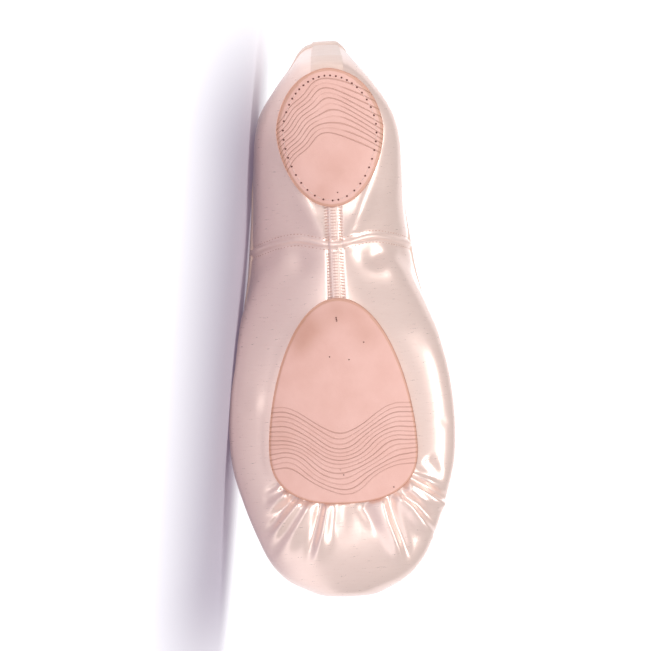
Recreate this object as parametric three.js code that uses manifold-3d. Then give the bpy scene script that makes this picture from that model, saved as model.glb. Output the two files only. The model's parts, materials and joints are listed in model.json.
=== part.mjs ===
// A split-sole pointe shoe, empty, lying on its left side. Sizes are in millimetres.
// The shoe is shaped as it stands: heel at x = 0, toe along +X, its left side along +Y, up along +Z, the soles'
// treads on z = 0. Its group is then turned on to the left side, so that the soles face -Y.

import * as THREE from "three";
import { mergeVertices } from "three/addons/utils/BufferGeometryUtils.js";
import Module from "manifold-3d";

const wasm = await Module();
wasm.setup();

// Lengths and heights of the whole shoe
const LENGTH = 240;
const BALL_WIDTH = 97.5;
const VAMP_HEIGHT = 60;
const HEEL_HEIGHT = 57;
const QUARTER_HEIGHT = 46;
const VAMP_LENGTH = 88;

// Thicknesses and the gap that separate pieces keep
const SATIN_WALL = 1.6;
const BOX_WALL = 3;
const GAP = 0.3;
const SOLE_THICKNESS = 2.5;
const INSOLE_THICKNESS = 2;
const BINDING_RISE = 0.9;
const TAPE_THICKNESS = 0.8;
const SEAM_THICKNESS = 0.6;

// Widths of the overlays
const BINDING_WIDTH = 9;
const TAPE_WIDTH = 14;
const ARCH_SEAM_WIDTH = 5;
const CENTRE_SEAM_WIDTH = 4.4;

// The arch seam's place along the foot as shares of the length: under the foot, and at the top of the sides
const ARCH_SEAM = { under: 0.368, top: 0.385 };

// The two leather soles: an egg each, set back from the toe's tip or from the heel's back
const FOREFOOT_SOLE = { length: 87, width: 62.6, setback: 41, widest: 0.73, rear: [1.75, 2], front: [2.5, 2.5] };
const HEEL_SOLE = { length: 58, width: 44, setback: 14, widest: 0.45, rear: [1.7, 2], front: [1.75, 2] };
const SOLE_LAP = 6;

// How it lies: turned past square on to its side, and pressed flat a little where it meets the floor
const REST_ROLL = 4;
const PRESSED_FLAT = 1.5;

// Steps of the surface: around a section, and between two neighbouring rows of the table
const AROUND = 40;
const AROUND_INSIDE = 28;
const AROUND_SOLE = 36;

const HALF_BALL = BALL_WIDTH / 2;
const SOLE_STACK = SOLE_THICKNESS + GAP;
const THROAT = LENGTH - VAMP_LENGTH;

// The last's sections from the heel's back to the toe's tip. at: place, as a share of LENGTH. side: widest half
// width, as a share of HALF_BALL. lift, belly and crown: heights of the underside, of the widest place and of the
// top over the tread, as shares of the local height. low and high: how square the lower and upper halves are.
// lean: how far the top sags towards the floor side, as a share of HALF_BALL. steps: rings up to the next row.
const SECTIONS = [
  { at: 0.0, side: 0.1, lift: 0.93, belly: 1.02, crown: 1.3, low: 2.2, high: 2.4, lean: 0.1, steps: 1 },
  { at: 0.005, side: 0.15, lift: 0.78, belly: 0.98, crown: 1.32, low: 2.3, high: 2.4, lean: 0.09, steps: 1 },
  { at: 0.019, side: 0.205, lift: 0.46, belly: 0.82, crown: 1.32, low: 2.4, high: 2.4, lean: 0.08, steps: 1 },
  { at: 0.034, side: 0.25, lift: 0.17, belly: 0.62, crown: 1.32, low: 2.6, high: 2.4, lean: 0.08, steps: 1 },
  { at: 0.05, side: 0.305, lift: 0.028, belly: 0.5, crown: 1.32, low: 2.9, high: 2.5, lean: 0.08, steps: 1 },
  { at: 0.079, side: 0.421, lift: 0.0, belly: 0.46, crown: 1.32, low: 3.3, high: 2.5, lean: 0.08, steps: 2 },
  { at: 0.125, side: 0.567, lift: 0.0, belly: 0.45, crown: 1.31, low: 3.6, high: 2.6, lean: 0.08, steps: 2 },
  { at: 0.175, side: 0.641, lift: 0.0, belly: 0.47, crown: 1.31, low: 3.6, high: 2.6, lean: 0.08, steps: 2 },
  { at: 0.242, side: 0.662, lift: 0.008, belly: 0.53, crown: 1.29, low: 3.0, high: 2.6, lean: 0.08, steps: 2 },
  { at: 0.308, side: 0.674, lift: 0.055, belly: 0.62, crown: 1.26, low: 2.2, high: 2.5, lean: 0.08, steps: 2 },
  { at: 0.367, side: 0.703, lift: 0.107, belly: 0.68, crown: 1.22, low: 1.8, high: 2.4, lean: 0.07, steps: 2 },
  { at: 0.425, side: 0.74, lift: 0.09, belly: 0.66, crown: 1.17, low: 1.95, high: 2.3, lean: 0.06, steps: 2 },
  { at: 0.483, side: 0.808, lift: 0.045, belly: 0.54, crown: 1.12, low: 2.3, high: 2.3, lean: 0.04, steps: 2 },
  { at: 0.542, side: 0.888, lift: 0.012, belly: 0.41, crown: 1.07, low: 2.8, high: 2.3, lean: 0.02, steps: 3 },
  { at: 0.608, side: 0.968, lift: 0.0, belly: 0.34, crown: 1.02, low: 3.3, high: 2.3, lean: 0.0, steps: 3 },
  { at: 0.683, side: 1.0, lift: 0.0, belly: 0.32, crown: 0.985, low: 3.5, high: 2.3, lean: 0.0, steps: 3 },
  { at: 0.758, side: 0.982, lift: 0.0, belly: 0.32, crown: 0.95, low: 3.5, high: 2.3, lean: 0.0, steps: 5 },
  { at: 0.825, side: 0.898, lift: 0.006, belly: 0.33, crown: 0.91, low: 3.3, high: 2.4, lean: 0.0, steps: 6 },
  { at: 0.883, side: 0.789, lift: 0.027, belly: 0.35, crown: 0.865, low: 3.2, high: 2.5, lean: 0.0, steps: 5 },
  { at: 0.933, side: 0.646, lift: 0.066, belly: 0.38, crown: 0.82, low: 3.0, high: 2.6, lean: 0.0, steps: 3 },
  { at: 0.967, side: 0.492, lift: 0.118, belly: 0.42, crown: 0.78, low: 2.8, high: 2.6, lean: 0.0, steps: 2 },
  { at: 0.988, side: 0.35, lift: 0.185, belly: 0.455, crown: 0.73, low: 2.6, high: 2.6, lean: 0.0, steps: 2 },
  { at: 0.997, side: 0.24, lift: 0.25, belly: 0.47, crown: 0.675, low: 2.5, high: 2.5, lean: 0.0, steps: 1 },
  { at: 1.0, side: 0.13, lift: 0.34, belly: 0.475, crown: 0.6, low: 2.3, high: 2.3, lean: 0.0, steps: 1 },
];

// The gathered folds under the toe. Each runs in plan from a start beside the sole to an end near the platform:
// fore is how far it lies short of the toe's tip as a share of the forefoot sole's setback, and out is how far
// it lies to the left as a share of HALF_BALL. rise and spread are its height and half width, as shares of the
// setback. steep says which flank is the sharp one, 1 the left and -1 the right.
const FOLDS = [
  { fore: 1.1, out: 0.52, foreEnd: 0.96, outEnd: 0.67, rise: 0.024, spread: 0.075, steep: 1 },
  { fore: 1.01, out: 0.42, foreEnd: 0.68, outEnd: 0.68, rise: 0.034, spread: 0.085, steep: 1 },
  { fore: 0.99, out: 0.32, foreEnd: 0.44, outEnd: 0.62, rise: 0.026, spread: 0.1, steep: 1 },
  { fore: 0.98, out: 0.165, foreEnd: 0.44, outEnd: 0.29, rise: 0.03, spread: 0.08, steep: 1 },
  { fore: 1.0, out: -0.18, foreEnd: 0.7, outEnd: -0.26, rise: 0.018, spread: 0.1, steep: -1 },
  { fore: 1.05, out: -0.3, foreEnd: 0.39, outEnd: -0.47, rise: 0.034, spread: 0.085, steep: -1 },
  { fore: 1.09, out: -0.43, foreEnd: 0.65, outEnd: -0.76, rise: 0.03, spread: 0.09, steep: -1 },
  { fore: 1.22, out: -0.55, foreEnd: 0.92, outEnd: -0.87, rise: 0.04, spread: 0.08, steep: -1 },
  { fore: 1.28, out: -0.6, foreEnd: 1.17, outEnd: -0.85, rise: 0.024, spread: 0.07, steep: -1 },
];

// The insole's half width along the foot, as a share of the section's own
const INSOLE = [
  { at: 0.035, share: 0.4 },
  { at: 0.06, share: 0.66 },
  { at: 0.12, share: 0.76 },
  { at: 0.2, share: 0.7 },
  { at: 0.33, share: 0.46 },
  { at: 0.42, share: 0.44 },
  { at: 0.52, share: 0.55 },
  { at: 0.66, share: 0.7 },
  { at: 0.8, share: 0.68 },
  { at: 0.9, share: 0.6 },
  { at: 0.93, share: 0.42 },
];

const clamp = THREE.MathUtils.clamp;
const smoothstep = THREE.MathUtils.smoothstep;

// A smooth curve through a table's column, read at a whole or broken row number
function through(rows, column, place) {
  const last = rows.length - 1;
  const i = clamp(Math.floor(place), 0, last - 1);
  const value = (k) => rows[clamp(k, 0, last)][column];
  const t = place - i;
  const slopeIn = (value(i + 1) - value(i - 1)) / (i > 0 ? 2 : 1);
  const slopeOut = (value(i + 2) - value(i)) / (i + 2 <= last ? 2 : 1);
  const rest = 1 - t;
  return (
    value(i) * (1 + 2 * t) * rest * rest +
    slopeIn * t * rest * rest +
    value(i + 1) * (3 - 2 * t) * t * t -
    slopeOut * rest * t * t
  );
}

// The row number at which a table's "at" column reaches a share of the length
function rowAt(rows, share) {
  let low = 0;
  let high = rows.length - 1;
  for (let n = 0; n < 40; n++) {
    const middle = (low + high) / 2;
    if (through(rows, "at", middle) < share) low = middle;
    else high = middle;
  }
  return (low + high) / 2;
}

// The heel end follows the heel's height, and the vamp and toe follow the vamp's
function localHeight(share) {
  return THREE.MathUtils.lerp(HEEL_HEIGHT, VAMP_HEIGHT, smoothstep(share, 0.35, 0.6));
}

// The sizes of the section at a row number
function section(row) {
  const share = through(SECTIONS, "at", row);
  const height = localHeight(share);
  return {
    x: share * LENGTH,
    side: through(SECTIONS, "side", row) * HALF_BALL,
    keel: SOLE_STACK + Math.max(0, through(SECTIONS, "lift", row)) * height,
    belly: through(SECTIONS, "belly", row) * height,
    crown: through(SECTIONS, "crown", row) * height,
    low: through(SECTIONS, "low", row),
    high: through(SECTIONS, "high", row),
    lean: through(SECTIONS, "lean", row) * HALF_BALL,
  };
}

// A point of a section: turn runs from -90 degrees, under the foot, through 0 at the left side to 90 on top
function sectionPoint(s, turn) {
  const power = 2 / (Math.sin(turn) < 0 ? s.low : s.high);
  const across = Math.sign(Math.cos(turn)) * Math.abs(Math.cos(turn)) ** power;
  const up = Math.abs(Math.sin(turn)) ** power;
  const z = Math.sin(turn) < 0 ? s.belly - (s.belly - s.keel) * up : s.belly + (s.crown - s.belly) * up;
  const sag = s.lean * clamp((z - s.keel) / (s.crown - s.keel), 0, 1);
  return new THREE.Vector3(s.x, s.side * across + sag, z);
}

// The left or right half of a section as evenly spread points, closer together under the foot
function halfSection(s, count, mirror) {
  const fine = 240;
  const dense = [];
  for (let k = 0; k <= fine; k++) {
    const turn = -Math.PI / 2 + (Math.PI * k) / fine;
    dense.push(sectionPoint(s, mirror ? Math.PI - turn : turn));
  }
  const run = [0];
  for (let k = 1; k <= fine; k++) run.push(run[k - 1] + dense[k].distanceTo(dense[k - 1]));
  const points = [];
  for (let j = 0, k = 0; j < count; j++) {
    const wanted = run[fine] * (j / count) ** 1.15;
    while (run[k + 1] < wanted) k++;
    points.push(dense[k].clone().lerp(dense[k + 1], (wanted - run[k]) / (run[k + 1] - run[k])));
  }
  return { points, top: dense[fine] };
}

// A whole section as a ring of points, from the middle of the underside round by the left side
function ring(s, around) {
  const left = halfSection(s, around / 2, false);
  const right = halfSection(s, around / 2, true);
  return [...left.points, left.top, ...right.points.slice(1).reverse()];
}

// Rings from the heel to the toe; coarse takes the table's own rows alone
function rings(around, coarse) {
  const made = [];
  SECTIONS.forEach((row, i) => {
    const steps = i === SECTIONS.length - 1 || coarse ? 1 : row.steps;
    for (let k = 0; k < steps; k++) made.push(ring(section(i + k / steps), around));
  });
  return made;
}

// A closed surface over rings of equal length, with a fan at each end
function loft(rows) {
  const around = rows[0].length;
  const points = rows.flat();
  const indices = [];
  for (let i = 0; i + 1 < rows.length; i++)
    for (let j = 0; j < around; j++) {
      const a = i * around + j;
      const b = i * around + ((j + 1) % around);
      indices.push(a, b, a + around, b, b + around, a + around);
    }
  for (const [first, turned] of [[0, false], [(rows.length - 1) * around, true]]) {
    const centre = new THREE.Vector3();
    for (let j = 0; j < around; j++) centre.addScaledVector(points[first + j], 1 / around);
    points.push(centre);
    for (let j = 0; j < around; j++) {
      const a = first + j;
      const b = first + ((j + 1) % around);
      indices.push(...(turned ? [a, b, points.length - 1] : [b, a, points.length - 1]));
    }
  }
  const geometry = new THREE.BufferGeometry().setFromPoints(points);
  geometry.setIndex(indices);
  return geometry;
}

// A smooth surface of the last with its outward normals, kept for every layer that is grown from it
function lastSurface(around, coarse) {
  const geometry = loft(rings(around, coarse));
  geometry.computeVertexNormals();
  const position = geometry.getAttribute("position");
  const normal = geometry.getAttribute("normal");
  const points = [];
  for (let i = 0; i < position.count; i++)
    points.push({
      at: new THREE.Vector3().fromBufferAttribute(position, i),
      out: new THREE.Vector3().fromBufferAttribute(normal, i),
    });
  return { points, index: geometry.getIndex() };
}

const outside = lastSurface(AROUND, false);
const inside = lastSurface(AROUND_INSIDE, true);

// Height of the collar line at x, lowest at a share DIP of the way to the throat. drop lowers it and moves the
// throat forward, for the binding's lower edge.
const DIP = 0.6;
function collarHeight(x, drop = 0) {
  const throat = THROAT + drop;
  const t = x / throat;
  const low = QUARTER_HEIGHT - drop;
  const top = section(rowAt(SECTIONS, throat / LENGTH)).crown;
  const back = Math.max(0, 1 - t / DIP) ** 1.8;
  const front = 1 - Math.sqrt(1 - clamp((t - DIP) / (1 - DIP), 0, 1) ** 2.6);
  return low + (HEEL_HEIGHT - QUARTER_HEIGHT) * back + (top - low) * front;
}

// Turns the standing shoe on to its left side, before the heel end is let down to the floor
const rollTurn = new THREE.Quaternion().setFromEuler(
  new THREE.Euler(-Math.PI / 2 - THREE.MathUtils.degToRad(REST_ROLL), 0, 0),
);

// The pitch at which ball and quarter both touch the floor. Points on the collar carry the binding, so they
// count with its thickness.
function settle() {
  const profile = outside.points
    .filter(({ at }) => at.x > THROAT || at.z < collarHeight(at.x))
    .map(({ at, out }) => {
      const bound = at.x < THROAT && at.z > collarHeight(at.x) - BINDING_WIDTH;
      const p = at.clone().addScaledVector(out, bound ? BINDING_RISE : 0).applyQuaternion(rollTurn);
      return new THREE.Vector2(p.x, p.z);
    });
  const middle = LENGTH / 2;
  let pitch = 0;
  for (let n = 0; n < 20; n++) {
    const height = (p) => p.y - Math.tan(pitch) * p.x;
    const lowest = (side) => profile.filter(side).reduce((a, b) => (height(b) < height(a) ? b : a));
    const rear = lowest((p) => p.x < middle);
    const fore = lowest((p) => p.x >= middle);
    pitch = Math.atan2(fore.y - rear.y, fore.x - rear.x);
  }
  return pitch;
}
const pitch = settle();
const lyingTurn = new THREE.Quaternion()
  .setFromEuler(new THREE.Euler(0, pitch, 0))
  .multiply(rollTurn);
const upward = new THREE.Vector3(0, 0, 1).applyQuaternion(lyingTurn.clone().invert());

// Room that the upper leaves to the floor for the binding, behind the box, and the floor's height
const floorRoom = (x) => BINDING_RISE * (1 - smoothstep(x, 0.9 * THROAT, THROAT));
const FLOOR = PRESSED_FLAT + Math.min(
  ...outside.points
    .filter(({ at }) => at.x > THROAT || at.z < collarHeight(at.x))
    .map(({ at }) => upward.dot(at) - floorRoom(at.x)),
);

// Moves a point of a layer up to the floor if it would lie below it
function pressed(p, grow, x) {
  const under = FLOOR + floorRoom(x) - grow - upward.dot(p);
  return under > 0 ? p.addScaledVector(upward, under) : p;
}

// How far a fold stands out at a place under the toe
function foldRise(p) {
  const setback = FOREFOOT_SOLE.setback;
  let rise = 0;
  for (const fold of FOLDS) {
    const from = new THREE.Vector2(LENGTH - fold.fore * setback, fold.out * HALF_BALL);
    const to = new THREE.Vector2(LENGTH - fold.foreEnd * setback, fold.outEnd * HALF_BALL);
    const along = to.clone().sub(from);
    const length = along.length();
    along.divideScalar(length);
    const place = new THREE.Vector2(p.x, p.y).sub(from);
    const share = place.dot(along) / length;
    const off = place.dot(new THREE.Vector2(-along.y, along.x)) * fold.steep;
    if (share < -0.05 || share > 1.15) continue;
    const spread = fold.spread * setback * (off > 0 ? 0.55 : 1.25);
    const ends = smoothstep(share, -0.05, 0.12) * (1 - smoothstep(share, 0.5, 1.15));
    rise += fold.rise * setback * ends * Math.exp(-((off / spread) ** 2) * 2);
  }
  return rise;
}

// Thickness of the upper's wall along the foot: satin and lining, and the stiffened box in front
const wall = (x) => THREE.MathUtils.lerp(SATIN_WALL, BOX_WALL, smoothstep(x, 0.5 * LENGTH, 0.66 * LENGTH));

// A closed body: the last grown by a thickness that may change along the foot
function body(surface, growAt, folds = false) {
  const points = surface.points.map(({ at, out }) => {
    const grow = growAt(at.x);
    const raised = folds && at.z < VAMP_HEIGHT / 2 && out.z < 0.3 ? foldRise(at) : 0;
    return pressed(at.clone().addScaledVector(out, grow + raised), grow, at.x);
  });
  const geometry = new THREE.BufferGeometry().setFromPoints(points);
  geometry.setIndex(surface.index);
  return solid(geometry);
}

// A three.js geometry as a solid for cutting and joining
function solid(geometry) {
  const bare = geometry.clone();
  bare.deleteAttribute("normal");
  bare.deleteAttribute("uv");
  const merged = mergeVertices(bare);
  return new wasm.Manifold(
    new wasm.Mesh({
      numProp: 3,
      vertProperties: new Float32Array(merged.getAttribute("position").array),
      triVerts: new Uint32Array(merged.getIndex().array),
    }),
  );
}

// A plan outline standing from one height to another
function upright(points, bottom, top) {
  const geometry = new THREE.ExtrudeGeometry(new THREE.Shape(points), {
    depth: top - bottom,
    bevelEnabled: false,
    steps: 1,
  });
  geometry.translate(0, 0, bottom);
  return solid(geometry);
}

// A side outline, given as x and height, running across the whole shoe
function crosswise(points) {
  const width = 2 * BALL_WIDTH;
  const geometry = new THREE.ExtrudeGeometry(new THREE.Shape(points), {
    depth: width,
    bevelEnabled: false,
    steps: 1,
  });
  geometry.rotateX(Math.PI / 2);
  geometry.translate(0, width / 2, 0);
  return solid(geometry);
}

// Everything above the collar line lowered by drop, as far forward as the throat
function aboveCollar(drop) {
  const steps = 36;
  const start = -LENGTH / 10;
  const end = THROAT + drop;
  const roof = 2 * Math.max(HEEL_HEIGHT, VAMP_HEIGHT);
  const points = [];
  for (let k = 0; k <= steps; k++) {
    const x = start + (end - start) * Math.sin(((k / steps) * Math.PI) / 2) ** 0.9;
    points.push(new THREE.Vector2(x, collarHeight(Math.max(x, 0), drop)));
  }
  points.push(new THREE.Vector2(end, roof), new THREE.Vector2(start, roof));
  return crosswise(points);
}

// An egg's outline in plan. Each half follows |x|^p + |y|^q = 1.
function egg({ length, width, widest, rear, front }, startX, inset = 0) {
  const count = AROUND_SOLE;
  const points = [];
  const widestX = startX + widest * length;
  for (let k = 0; k < count; k++) {
    const turn = (2 * Math.PI * k) / count;
    const [p, q] = Math.cos(turn) > 0 ? front : rear;
    const reach = Math.cos(turn) > 0 ? (1 - widest) * length - inset : widest * length - inset;
    points.push(
      new THREE.Vector2(
        widestX + Math.sign(Math.cos(turn)) * reach * Math.abs(Math.cos(turn)) ** (2 / p),
        Math.sign(Math.sin(turn)) * (width / 2 - inset) * Math.abs(Math.sin(turn)) ** (2 / q),
      ),
    );
  }
  return points;
}

const forefootOutline = (inset) =>
  egg(FOREFOOT_SOLE, LENGTH - FOREFOOT_SOLE.setback - FOREFOOT_SOLE.length, inset);
const heelOutline = (inset) => egg(HEEL_SOLE, HEEL_SOLE.setback, inset);

// The insole's outline in plan, from its own table
function insoleOutline() {
  const steps = 24;
  const half = [];
  for (let k = 0; k <= steps; k++) {
    const row = ((INSOLE.length - 1) * k) / steps;
    const share = through(INSOLE, "at", row);
    const side = section(rowAt(SECTIONS, share)).side;
    half.push(new THREE.Vector2(share * LENGTH, side * through(INSOLE, "share", row)));
  }
  return [...half.map((p) => new THREE.Vector2(p.x, -p.y)), ...half.reverse()];
}

const underside = VAMP_HEIGHT * 0.36;
const underfoot = (outline) => upright(outline, -VAMP_HEIGHT, underside);

// The upper: one shell, open above the collar line and under each leather sole
function upper() {
  return body(outside, () => 0, true)
    .subtract(body(inside, (x) => -wall(x)))
    .subtract(aboveCollar(BINDING_WIDTH + GAP))
    .subtract(underfoot(forefootOutline(SOLE_LAP)))
    .subtract(underfoot(heelOutline(SOLE_LAP)));
}

const soleLayer = body(outside, () => SOLE_STACK).subtract(body(outside, () => GAP, true));
const leatherSole = (outline) => soleLayer.intersect(underfoot(outline));

// The insole, a layer just inside the upper
function insole() {
  return body(inside, (x) => -wall(x) - GAP)
    .subtract(body(inside, (x) => -wall(x) - GAP - INSOLE_THICKNESS))
    .intersect(underfoot(insoleOutline()));
}

// The binding: the folded tape round the collar with its drawstring inside, a ring on the upper's cut edge
function collarBinding() {
  return body(outside, () => BINDING_RISE)
    .subtract(body(inside, (x) => -wall(x) - BINDING_RISE))
    .subtract(aboveCollar(0))
    .intersect(aboveCollar(BINDING_WIDTH));
}

// The tape over the back seam, from under the heel sole up over the binding to the collar's top
function heelTape() {
  const half = TAPE_WIDTH / 2;
  const lean = section(0).lean;
  const reach = HEEL_SOLE.setback + HEEL_SOLE.width / 4;
  const strip = upright(
    [
      new THREE.Vector2(-LENGTH / 10, lean - half),
      new THREE.Vector2(0, lean - half),
      new THREE.Vector2(reach, -half),
      new THREE.Vector2(reach, half),
      new THREE.Vector2(0, lean + half),
      new THREE.Vector2(-LENGTH / 10, lean + half),
    ],
    -VAMP_HEIGHT,
    2 * HEEL_HEIGHT,
  );
  const between = (low, high) => body(outside, () => high).subtract(body(outside, () => low)).intersect(strip);
  const bindingEdge = BINDING_WIDTH + GAP;
  const low = between(GAP, GAP + TAPE_THICKNESS).subtract(aboveCollar(bindingEdge));
  const step = between(GAP, BINDING_RISE + GAP + TAPE_THICKNESS)
    .intersect(aboveCollar(bindingEdge + TAPE_THICKNESS))
    .subtract(aboveCollar(bindingEdge));
  const high = between(BINDING_RISE + GAP, BINDING_RISE + GAP + TAPE_THICKNESS)
    .intersect(aboveCollar(bindingEdge + TAPE_THICKNESS))
    .subtract(aboveCollar(0));
  return low.add(step).add(high).subtract(underfoot(heelOutline(-GAP)));
}

// A raised seam's thickness over the upper, from which each seam is cut
const seamLayer = body(outside, () => GAP + SEAM_THICKNESS).subtract(body(outside, () => GAP));

// The seam that joins vamp and quarters, across the arch and up both sides to the binding
function archSeam() {
  const half = ARCH_SEAM_WIDTH / 2;
  const under = ARCH_SEAM.under * LENGTH;
  const top = ARCH_SEAM.top * LENGTH;
  const band = crosswise([
    new THREE.Vector2(under - half, 0),
    new THREE.Vector2(under + half, 0),
    new THREE.Vector2(top + half, HEEL_HEIGHT),
    new THREE.Vector2(top - half, HEEL_HEIGHT),
  ]);
  return seamLayer.intersect(band).subtract(aboveCollar(BINDING_WIDTH + GAP));
}

// The seam along the arch, from a sole's edge to the arch seam
function centreSeam(fromX, toX, soleEdge) {
  const half = CENTRE_SEAM_WIDTH / 2;
  const strip = [
    new THREE.Vector2(fromX, -half),
    new THREE.Vector2(toX, -half),
    new THREE.Vector2(toX, half),
    new THREE.Vector2(fromX, half),
  ];
  return seamLayer.intersect(underfoot(strip)).subtract(underfoot(soleEdge(-GAP)));
}
const archSeamX = (z) => LENGTH * THREE.MathUtils.lerp(ARCH_SEAM.under, ARCH_SEAM.top, z / HEEL_HEIGHT);
const archZ = section(rowAt(SECTIONS, ARCH_SEAM.under)).keel;
const seamSide = ARCH_SEAM_WIDTH / 2 + GAP;

const parts = {
  upper: upper(),
  forefoot_sole: leatherSole(forefootOutline(0)),
  heel_sole: leatherSole(heelOutline(0)),
  insole: insole(),
  collar_binding: collarBinding(),
  heel_tape: heelTape(),
  arch_seam: archSeam(),
  centre_seam_rear: centreSeam(HEEL_SOLE.setback, archSeamX(archZ) - seamSide, heelOutline),
  centre_seam_front: centreSeam(
    archSeamX(archZ) + seamSide,
    LENGTH - FOREFOOT_SOLE.setback - FOREFOOT_SOLE.width / 2,
    forefootOutline,
  ),
};

const colours = { satin: 0xf0d6cc, leather: 0xe0aa9c, cotton: 0xe9cfc0 };
const finish = {
  upper: [colours.satin, 0.35],
  forefoot_sole: [colours.leather, 0.6],
  heel_sole: [colours.leather, 0.6],
  insole: [colours.cotton, 0.9],
  collar_binding: [colours.satin, 0.5],
  heel_tape: [colours.satin, 0.5],
  arch_seam: [colours.satin, 0.5],
  centre_seam_rear: [colours.satin, 0.5],
  centre_seam_front: [colours.satin, 0.5],
};

const shoe = new THREE.Group();
for (const [name, part] of Object.entries(parts)) {
  const cut = part.getMesh();
  const geometry = new THREE.BufferGeometry();
  geometry.setAttribute("position", new THREE.BufferAttribute(new Float32Array(cut.vertProperties), 3));
  geometry.setIndex(new THREE.BufferAttribute(new Uint32Array(cut.triVerts), 1));
  const [color, roughness] = finish[name];
  const mesh = new THREE.Mesh(geometry, new THREE.MeshStandardMaterial({ color, roughness, metalness: 0 }));
  mesh.name = name;
  shoe.add(mesh);
}
shoe.quaternion.copy(lyingTurn);
shoe.updateMatrixWorld(true);
const room = new THREE.Box3().setFromObject(shoe, true);
const middle = room.getCenter(new THREE.Vector3());
shoe.position.set(-middle.x, -middle.y, -room.min.z);

const part = new THREE.Group();
part.add(shoe);
export default part;
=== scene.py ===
"""A split-sole pointe shoe in pale satin, lying on its left side on a pale studio floor.

Every piece is shaped in the shoe's own frame, in millimetres: the heel's back at x = 0, the toe along +X, the
shoe's left side along +Y, up along +Z and the treads on z = 0. Lie then turns it on to its left side and sets it
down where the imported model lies.
"""

import json
import logging
import math
from collections.abc import Callable, Sequence
from dataclasses import dataclass
from enum import Enum

import bpy
import numpy as np
from mathutils import Matrix, Vector

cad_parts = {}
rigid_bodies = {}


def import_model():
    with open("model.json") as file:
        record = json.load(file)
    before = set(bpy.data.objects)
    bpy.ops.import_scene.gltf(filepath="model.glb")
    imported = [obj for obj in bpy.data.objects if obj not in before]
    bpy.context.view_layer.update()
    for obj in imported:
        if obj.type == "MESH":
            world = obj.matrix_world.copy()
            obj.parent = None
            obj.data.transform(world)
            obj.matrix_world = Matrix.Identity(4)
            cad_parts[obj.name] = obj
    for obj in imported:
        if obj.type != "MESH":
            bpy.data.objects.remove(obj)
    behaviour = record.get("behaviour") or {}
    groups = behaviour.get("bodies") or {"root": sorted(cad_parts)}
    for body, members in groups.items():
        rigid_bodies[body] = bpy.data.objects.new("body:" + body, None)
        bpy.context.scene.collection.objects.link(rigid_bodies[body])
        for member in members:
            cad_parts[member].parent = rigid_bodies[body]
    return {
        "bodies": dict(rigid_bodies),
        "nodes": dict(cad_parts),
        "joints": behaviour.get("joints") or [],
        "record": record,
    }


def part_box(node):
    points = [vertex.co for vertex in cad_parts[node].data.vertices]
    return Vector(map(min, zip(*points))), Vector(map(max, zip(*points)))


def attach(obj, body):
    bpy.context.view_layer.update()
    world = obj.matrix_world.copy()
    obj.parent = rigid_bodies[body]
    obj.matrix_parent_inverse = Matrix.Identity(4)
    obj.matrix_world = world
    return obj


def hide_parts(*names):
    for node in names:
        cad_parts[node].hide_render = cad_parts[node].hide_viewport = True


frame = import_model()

log = logging.getLogger("pointe_shoe")

MM = 0.001
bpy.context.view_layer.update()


# ---------------------------------------------------------------------------------------------------------------
# The last
# ---------------------------------------------------------------------------------------------------------------


@dataclass(frozen=True)
class Sizes:
    """The shoe's driving sizes, in millimetres."""

    length: float = 240.0
    ball_width: float = 97.5
    vamp_height: float = 60.0
    heel_height: float = 57.0
    quarter_height: float = 46.0
    vamp_length: float = 88.0
    satin_wall: float = 1.6
    box_wall: float = 3.0
    gap: float = 0.3
    sole_thickness: float = 2.5
    insole_thickness: float = 2.0
    binding_rise: float = 0.9
    binding_width: float = 9.0
    tape_width: float = 14.0
    roll: float = 4.0
    pitch: float = -6.6534

    @property
    def half_ball(self) -> float:
        """Half the width at the ball."""
        return self.ball_width / 2

    @property
    def throat(self) -> float:
        """The throat's place along the foot."""
        return self.length - self.vamp_length

    @property
    def stack(self) -> float:
        """The tread's distance from the upper's own surface."""
        return self.sole_thickness + self.gap


SIZES = Sizes()

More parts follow.
